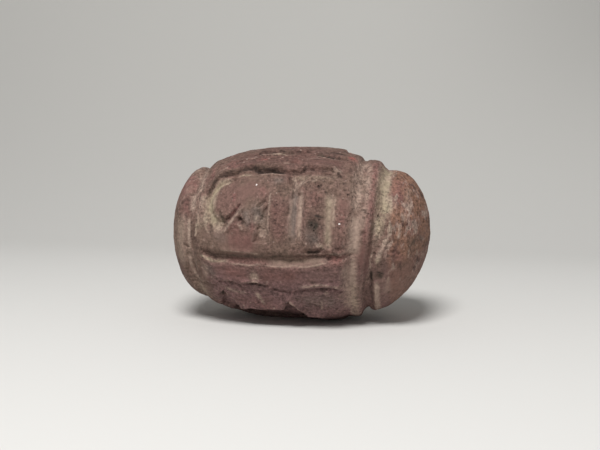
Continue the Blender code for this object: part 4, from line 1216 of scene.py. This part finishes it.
# Small helpers for a node tree: a node with its settings and inputs, a value or a link for one input, mixes,
# and sums
def addNode(tree, kind, inputs=None, **settings):
    node = tree.nodes.new(kind)
    for name, value in settings.items():
        setattr(node, name, value)
    for name, value in (inputs or {}).items():
        setInput(tree, node.inputs[name], value)
    return node


def setInput(tree, socket, value):
    if isinstance(value, bpy.types.NodeSocket):
        tree.links.new(value, socket)
    elif isinstance(value, tuple) and len(value) == 3 and socket.type == "RGBA":
        socket.default_value = (*value, 1.0)
    else:
        socket.default_value = value


def mixColours(tree, factor, a, b, blendType="MIX"):
    node = addNode(tree, "ShaderNodeMix", {0: factor, 6: a, 7: b}, data_type="RGBA", blend_type=blendType)
    return node.outputs[2]


def mixValues(tree, factor, a, b):
    return addNode(tree, "ShaderNodeMix", {0: factor, 2: a, 3: b}).outputs[0]


def mathNode(tree, operation, a, b=0.0, c=0.0, clamp=False):
    node = addNode(tree, "ShaderNodeMath", {0: a, 1: b, 2: c}, operation=operation, use_clamp=clamp)
    return node.outputs[0]


def times(tree, a, b):
    return mathNode(tree, "MULTIPLY", a, b)


# value * factor + offset
def scaled(tree, value, factor, offset):
    return mathNode(tree, "MULTIPLY_ADD", value, factor, offset)


# A smooth ramp from 0 at low to 1 at high, which may be the smaller one
def ramp(tree, value, low, high):
    inputs = {"Value": value, "From Min": low, "From Max": high}
    return addNode(tree, "ShaderNodeMapRange", inputs, interpolation_type="SMOOTHSTEP").outputs[0]


def mask(tree, name):
    return addNode(tree, "ShaderNodeAttribute", attribute_name=name).outputs["Fac"]


# Noise of a size in millimetres, 0 to 1
def noise(tree, place, size, detail, roughness):
    inputs = {"Vector": place, "Scale": 1.0 / (size * mm), "Detail": detail, "Roughness": roughness}
    return addNode(tree, "ShaderNodeTexNoise", inputs).outputs["Fac"]


# A mask from the skin made stronger and weaker by a noise, so that it breaks up without losing its soft edge
def brokenMask(tree, name, grain, strength, low=0.0, high=1.0):
    factor = scaled(tree, grain, strength, 1.0 - 0.5 * strength)
    value = times(tree, mask(tree, name), mathNode(tree, "MAXIMUM", factor, 0.0))
    inputs = {"Value": value, "From Min": low, "From Max": high}
    return addNode(tree, "ShaderNodeMapRange", inputs).outputs[0]


# One more layer over the colours so far, as thick as its cover times its share
def coat(tree, colour, cover, share, tint):
    return mixColours(tree, times(tree, cover, share), colour, tint)


# Colours are linear red, green and blue
clay = {
    "red": (0.165, 0.092, 0.075),
    "brown": (0.155, 0.099, 0.075),
    "mauve": (0.190, 0.107, 0.101),
    "rust": (0.234, 0.124, 0.083),
    "deepRed": (0.100, 0.055, 0.044),
    "paleRed": (0.240, 0.142, 0.118),
    "ruddy": (0.212, 0.098, 0.086),
    "grey": (0.175, 0.130, 0.110),
    "soilAndHighlight": (0.345, 0.248, 0.198),
    "oliveSoil": (0.340, 0.272, 0.190),
    "worn": (0.29, 0.19, 0.155),
    "grit": (0.35, 0.25, 0.205),
    "fresh": (0.34, 0.11, 0.09),
    # near black of dark stains, pits and pepper, and of painted shade
    "darkAndShade": (0.032, 0.020, 0.016),
    "greenBlack": (0.040, 0.035, 0.025),
    "quartz": (0.75, 0.68, 0.64),
    "roughness": (0.82, 0.95),  # of bare clay and of soil
    "specular": 0.3,
    # draws the grain out where the tool ran level, and where upright
    "stretch": {"level": (0.35, 1.0, 1.0), "upright": (1.0, 0.4, 0.4)},
    # each noise: how it runs, its size in millimetres, its detail and its roughness
    "noises": {
        "broad": ("place", 9.0, 2.0, 0.55),
        "middle": ("place", 2.6, 3.0, 0.55),
        "blotch": ("upright", 1.9, 4.0, 0.6),
        "speck": ("place", 0.7, 3.0, 0.65),
        "clump": ("place", 5.0, 3.0, 0.55),
    },
    "fine": (1.5, 3.0, 0.55),  # size, detail and roughness of a noise that runs level and upright
    "veins": (2.4, 4.0, 0.6),
    "veinHalf": 0.018,  # how near its middle value the veins' noise makes a vein
    "veinPlaces": (0.42, 0.6),  # from none to all of them, over the middle noise
    "veinShare": 0.3,
    "baseMix": (0.38, 0.62),  # from brown to red, over the broad noise
    "paleBlotch": ((0.50, 0.64), 0.7, 0.3),  # ramp over a noise, share on mottled places, share everywhere
    "deepBlotch": ((0.52, 0.68), 0.6, 0.35),
    "oliveBreak": 2.0,  # how strongly the middle noise breaks up the olive places
    "oliveShare": 0.6,
    # each stain: the noise that breaks it up, how strongly, the range of the result, its tint and its share
    "stains": {
        "ruddy": ("fine", 2.0, 0.0, 1.0, "ruddy", 0.8),
        "deep": ("fine", 3.0, 0.0, 1.0, "deepRed", 0.6),
        "grey": ("middle", 2.0, 0.0, 1.0, "grey", 1.0),
    },
    "wear": {
        "edge": ("fine", 5.0, 0.3, 1.4, "worn", 0.45),
        "fresh": ("fine", 3.0, 0.0, 1.0, "fresh", 1.0),
    },
    "soilAndHighlightBreak": (2.6, 0.1, 0.8),  # how strongly a noise breaks up the soil, and the range of the result
    "soilAndHighlightCalm": 0.54,  # the value that takes the noise's place where the clay is smooth
    "soilFlecks": ((0.55, 0.64), 0.85),  # ramp over the blotches, and its share on mottled places
    "soilAndHighlightShare": 0.95,
    "shade": (1.8, 0.75, 0.25),  # how much specks shade rough clay and all clay, and the darkest they go
    "gritSize": 1.2,  # of the cells that hold a spot each
    "gritPlaces": (0.56, 0.42),  # from none to all, over the middle noise
    "gritShare": 0.75,
    "darkAndShadeBreak": (3.0, 0.1, 1.0),
    "darkAndShadeShare": 0.95,
    # painted shade in the pits, darkest at their bottoms
    "pit": ((0.1, 0.75), 0.4),  # from the bare rim to the dark bottom, and the share of dark
    "pepperSize": 1.0,
    "pepperPlaces": ((0.5, 0.66), 0.6),  # ramp over the clumps, and the share where they are thickest
    "pepperShare": 0.9,
    "spots": (0.22, 0.08, 0.38, (1.2, 0.5)),  # spread of radius, least radius, share left out, soft rim
    "quartzRim": (0.4, 0.7),
    "bump": (0.9, -0.3, 0.6, 0.4),  # of the specks, of the veins, on rough clay and on all clay
    "bumpHeight": 0.5,  # of its full range
}


# A colour made lighter and darker by a noise, around its own value
def shadeBy(tree, colour, grain, amount, darkest):
    swing = times(tree, mathNode(tree, "SUBTRACT", grain, 0.5), amount)
    factor = mathNode(tree, "MAXIMUM", mathNode(tree, "ADD", swing, 1.0), darkest)
    return mixColours(tree, 1.0, colour, factor, "MULTIPLY")


# Thin wandering lines, where a noise is close to its middle value
def veins(tree, place):
    waves = noise(tree, place, *clay["veins"])
    offMiddle = mathNode(tree, "ABSOLUTE", mathNode(tree, "SUBTRACT", waves, 0.5))
    return ramp(tree, offMiddle, clay["veinHalf"], 0.0)


# Tiny spots: a share of the cells of a Voronoi pattern each holds one spot of its own size
def pepperSpots(tree, place, size):
    spread, least, leftOut, rim = clay["spots"]
    cells = addNode(tree, "ShaderNodeTexVoronoi", {"Vector": place, "Scale": 1.0 / (size * mm)})
    random = addNode(tree, "ShaderNodeSeparateColor", {"Color": cells.outputs["Color"]})
    radius = scaled(tree, random.outputs[1], spread, least)
    inside = mathNode(tree, "DIVIDE", cells.outputs["Distance"], radius)
    held = mathNode(tree, "GREATER_THAN", random.outputs[0], leftOut)
    return times(tree, ramp(tree, inside, *rim), held)


# What the clay's layers share, by name: the places that patterns read, the noises and veins, which run level
# or upright as the tool did, and two masks from the skin
def clayGrains(tree):
    place = addNode(tree, "ShaderNodeTexCoord").outputs["Object"]
    grains = {"place": place}
    for way, stretch in clay["stretch"].items():
        grains[way] = addNode(tree, "ShaderNodeMapping", {"Vector": place, "Scale": stretch}).outputs[0]
    for name, (way, *shape) in clay["noises"].items():
        grains[name] = noise(tree, grains[way], *shape)
    both = [noise(tree, grains[way], *clay["fine"]) for way in clay["stretch"]]
    grains["fine"] = mixValues(tree, mask(tree, "upright"), *both)
    both = [veins(tree, grains[way]) for way in clay["stretch"]]
    grains["vein"] = mixValues(tree, mask(tree, "upright"), *both)
    grains["rough"] = mathNode(tree, "SUBTRACT", 1.0, mask(tree, "smooth"), clamp=True)
    grains["mottled"] = mask(tree, "mottled")
    places = times(tree, grains["rough"], ramp(tree, grains["middle"], *clay["veinPlaces"]))
    grains["vein"] = times(tree, grains["vein"], places)
    return grains


# The clay itself: brown and red, mauve below, rust at the right end, with paler and deeper blotches
def bareClay(tree, grains):
    colour = mixColours(tree, ramp(tree, grains["broad"], *clay["baseMix"]), clay["brown"], clay["red"])
    for name in ("mauve", "rust"):
        colour = mixColours(tree, mask(tree, name), colour, clay[name])
    for kind, grain, tint in (("paleBlotch", "blotch", "paleRed"), ("deepBlotch", "fine", "deepRed")):
        edges, onMottled, everywhere = clay[kind]
        share = scaled(tree, grains["mottled"], onMottled, everywhere)
        colour = coat(tree, colour, ramp(tree, grains[grain], *edges), share, clay[tint])
    return colour


# The stains of one table, laid over each other in its order
def addStains(tree, colour, grains, table):
    for name, (grain, strength, low, high, tint, share) in table.items():
        cover = brokenMask(tree, name, grains[grain], strength, low, high)
        colour = coat(tree, colour, cover, share, clay[tint])
    return colour


# Where soil and the pale lines of painted highlight lie: its mask broken up less where the clay is smooth,
# and flecks on the mottled ends
def soilAndHighlightCover(tree, grains):
    calm = mixValues(tree, mask(tree, "smooth"), grains["fine"], clay["soilAndHighlightCalm"])
    edges, share = clay["soilFlecks"]
    flecks = times(tree, ramp(tree, grains["blotch"], *edges), times(tree, grains["mottled"], share))
    return mathNode(tree, "MAXIMUM", brokenMask(tree, "soilAndHighlight", calm, *clay["soilAndHighlightBreak"]), flecks)


# Pale grit: spots on rough and on speckled clay
def gritCover(tree, grains):
    places = times(tree, grains["rough"], ramp(tree, grains["middle"], *clay["gritPlaces"]))
    places = times(tree, mathNode(tree, "MAXIMUM", places, mask(tree, "speckled")), clay["gritShare"])
    return times(tree, pepperSpots(tree, grains["place"], clay["gritSize"]), places)


# Dark pepper: spots in clumps on rough clay, and on all speckled clay
def pepperCover(tree, grains):
    edges, share = clay["pepperPlaces"]
    places = times(tree, times(tree, ramp(tree, grains["clump"], *edges), grains["rough"]), share)
    places = mathNode(tree, "MAXIMUM", places, mask(tree, "speckled"))
    return times(tree, pepperSpots(tree, grains["place"], clay["pepperSize"]), places)


# The fine relief under the layers: fine noise, specks and veins less the pepper, weaker on smooth clay
def clayBump(tree, grains, pepper):
    ofSpecks, ofVeins, onRough, everywhere = clay["bump"]
    height = mathNode(tree, "SUBTRACT", scaled(tree, grains["speck"], ofSpecks, grains["fine"]), pepper)
    height = scaled(tree, grains["vein"], ofVeins, height)
    height = times(tree, height, scaled(tree, grains["rough"], onRough, everywhere))
    inputs = {"Height": height, "Strength": 1.0, "Distance": clay["bumpHeight"] * mm}
    return addNode(tree, "ShaderNodeBump", inputs).outputs["Normal"]


# Fired clay from the bare colours outwards: stains, soil with painted highlights, worn edges, specks, veins,
# grit, dark lines with painted shade, painted shade in the pits, pepper and grains of quartz
def firedClay():
    material = bpy.data.materials.new("firedClay")
    material.use_nodes = True
    tree = material.node_tree
    shader = tree.nodes["Principled BSDF"]
    grains = clayGrains(tree)
    olive = brokenMask(tree, "olive", grains["middle"], clay["oliveBreak"])
    colour = coat(tree, bareClay(tree, grains), olive, clay["oliveShare"], clay["brown"])
    colour = addStains(tree, colour, grains, clay["stains"])
    soilAndHighlight = soilAndHighlightCover(tree, grains)
    soilAndHighlightTint = mixColours(tree, olive, clay["soilAndHighlight"], clay["oliveSoil"])
    colour = coat(tree, colour, soilAndHighlight, clay["soilAndHighlightShare"], soilAndHighlightTint)
    colour = addStains(tree, colour, grains, clay["wear"])
    onRough, everywhere, darkest = clay["shade"]
    amount = scaled(tree, grains["rough"], onRough, everywhere)
    colour = shadeBy(tree, colour, grains["speck"], amount, darkest)
    colour = coat(tree, colour, grains["vein"], clay["veinShare"], clay["deepRed"])
    colour = mixColours(tree, gritCover(tree, grains), colour, clay["grit"])
    darkAndShadeTint = mixColours(tree, olive, clay["darkAndShade"], clay["greenBlack"])
    darkAndShade = brokenMask(tree, "darkAndShade", grains["fine"], *clay["darkAndShadeBreak"])
    colour = coat(tree, colour, darkAndShade, clay["darkAndShadeShare"], darkAndShadeTint)
    # painted shade in the pits
    edges, share = clay["pit"]
    colour = coat(tree, colour, ramp(tree, mask(tree, "pit"), *edges), share, clay["darkAndShade"])
    pepper = pepperCover(tree, grains)
    colour = coat(tree, colour, pepper, clay["pepperShare"], clay["darkAndShade"])
    quartz = ramp(tree, mask(tree, "quartz"), *clay["quartzRim"])
    colour = mixColours(tree, quartz, colour, clay["quartz"])
    bare, soiled = clay["roughness"]
    tree.links.new(colour, shader.inputs["Base Color"])
    tree.links.new(scaled(tree, soilAndHighlight, soiled - bare, bare), shader.inputs["Roughness"])
    tree.links.new(clayBump(tree, grains, pepper), shader.inputs["Normal"])
    shader.inputs["Specular IOR Level"].default_value = clay["specular"]
    print("fired clay:", len(tree.nodes), "nodes")
    return material


# A finished mesh and its material as a piece at the origin
def addPiece(name, mesh, material):
    piece = bpy.data.objects.new(name, mesh)
    bpy.context.scene.collection.objects.link(piece)
    mesh.materials.append(material)
    return piece


seal = addPiece("carved_seal", sealMesh(), firedClay())
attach(seal, "root")
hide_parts("stamp_seal")
print("seal is in place")

studio = {
    "floorColour": (0.665, 0.654, 0.630),
    "wallColour": (0.56, 0.548, 0.52),
    "paper": (0.9, 0.2),  # roughness and specular level
    "wallFade": (60.0, 270.0),  # from how far behind the seal the paper turns to its wall colour, in y
    # painted shade: the paper grows darker at its top right, as where less light falls
    "dimCorner": (0.77, (-20.0, 150.0), (10.0, 120.0)),  # how dim its top right grows, over which x and z
    "halfWidth": 900.0,
    "front": -420.0,
    "sweepStart": 120.0,
    "sweepRadius": 160.0,
    "sweepSteps": 24,  # points of its quarter circle
    "wallTop": 700.0,
}


# Paper whose tone runs smoothly from the floor's to the wall's, by its own place, with painted shade at its
# top right
def paperSurface():
    material = bpy.data.materials.new("palePaper")
    material.use_nodes = True
    tree = material.node_tree
    shader = tree.nodes["Principled BSDF"]
    place = addNode(tree, "ShaderNodeTexCoord").outputs["Object"]
    across = addNode(tree, "ShaderNodeSeparateXYZ", {"Vector": place}).outputs
    start, end = studio["wallFade"]
    fade = ramp(tree, across["Y"], start * mm, end * mm)
    colour = mixColours(tree, fade, studio["floorColour"], studio["wallColour"])
    dimmest, (left, right), (low, high) = studio["dimCorner"]
    toRight = ramp(tree, across["X"], left * mm, right * mm)
    toTop = ramp(tree, across["Z"], low * mm, high * mm)
    dimColour = tuple(dimmest * part for part in studio["wallColour"])
    colour = coat(tree, colour, toRight, toTop, dimColour)
    tree.links.new(colour, shader.inputs["Base Color"])
    roughness, specular = studio["paper"]
    shader.inputs["Roughness"].default_value = roughness
    shader.inputs["Specular IOR Level"].default_value = specular
    return material


# Pale paper sweep: a profile of flat floor, quarter circle and straight wall, drawn out along X
def backdropMesh():
    turn = np.linspace(0.0, math.pi / 2, studio["sweepSteps"])
    start, radius = studio["sweepStart"], studio["sweepRadius"]
    y = np.concatenate([[studio["front"]], start + radius * np.sin(turn), [start + radius]])
    z = np.concatenate([[0.0], radius * (1.0 - np.cos(turn)), [studio["wallTop"]]])
    x = np.array([-studio["halfWidth"], studio["halfWidth"]])
    points = np.stack([np.repeat(x, len(y)), np.tile(y, 2), np.tile(z, 2)], axis=1) * mm
    i = np.arange(len(y) - 1)
    faces = np.stack([i, i + len(y), i + len(y) + 1, i + 1], axis=1)
    mesh = bpy.data.meshes.new("backdrop")
    mesh.from_pydata(points.tolist(), [], faces.tolist())
    mesh.shade_smooth()
    return mesh


backdrop = addPiece("backdrop", backdropMesh(), paperSurface())
print("paper sweep is in place")

lights = {
    "place": (-14.0, -268.0, 430.0),
    "aimHeight": 20.0,
    "size": 200.0,
    "power": 2.52,  # watts
    "skyColour": (0.97, 0.985, 1.0),
    "skyStrength": 0.28,
}


# One round softbox above and in front, aimed at the seal
def addSoftbox():
    light = bpy.data.lights.new("softbox", "AREA")
    light.shape = "DISK"
    light.size = lights["size"] * mm
    light.energy = lights["power"]
    lamp = bpy.data.objects.new("softbox", light)
    bpy.context.scene.collection.objects.link(lamp)
    lamp.location = Vector(lights["place"]) * mm
    aim = Vector((0.0, 0.0, lights["aimHeight"] * mm))
    lamp.rotation_euler = (aim - lamp.location).to_track_quat("-Z", "Y").to_euler()


# Even light from all around
def addSky():
    world = bpy.data.worlds.new("softSky")
    world.use_nodes = True
    background = world.node_tree.nodes["Background"]
    background.inputs["Color"].default_value = (*lights["skyColour"], 1.0)
    background.inputs["Strength"].default_value = lights["skyStrength"]
    bpy.context.scene.world = world


addSoftbox()
addSky()
bpy.context.scene.view_settings.view_transform = "Standard"
print("lights are set")

view = {
    "turn": math.radians(10.0),  # how far the camera stands to the right of the front
    "drop": math.atan(0.115),  # how far it looks down
    "distance": 254.0,
    "height": -0.1,  # of the point that it turns round, from the seal's axis
    "aim": (-0.58, 2.16),  # how far it is shifted to the right and up
    "lens": 60.0,
    "sensor": 36.0,
    "nearest": 10.0,  # what is nearer isn't shown
}


# The camera: forward, right and up come from the two angles, and it stands the distance back along forward
def addCamera():
    turn, drop = view["turn"], view["drop"]
    forward = Vector((-math.sin(turn) * math.cos(drop), math.cos(turn) * math.cos(drop), -math.sin(drop)))
    right = Vector((math.cos(turn), math.sin(turn), 0.0))
    up = right.cross(forward)
    middle = Vector((0.0, 0.0, blank["axisHeight"] + view["height"]))
    data = bpy.data.cameras.new("camera")
    data.lens = view["lens"]
    data.sensor_width = view["sensor"]
    data.clip_start = view["nearest"] * mm
    camera = bpy.data.objects.new("camera", data)
    bpy.context.scene.collection.objects.link(camera)
    place = middle - forward * view["distance"] + right * view["aim"][0] + up * view["aim"][1]
    camera.location = place * mm
    camera.rotation_euler = forward.to_track_quat("-Z", "Y").to_euler()
    bpy.context.scene.camera = camera


addCamera()
print("camera is set")
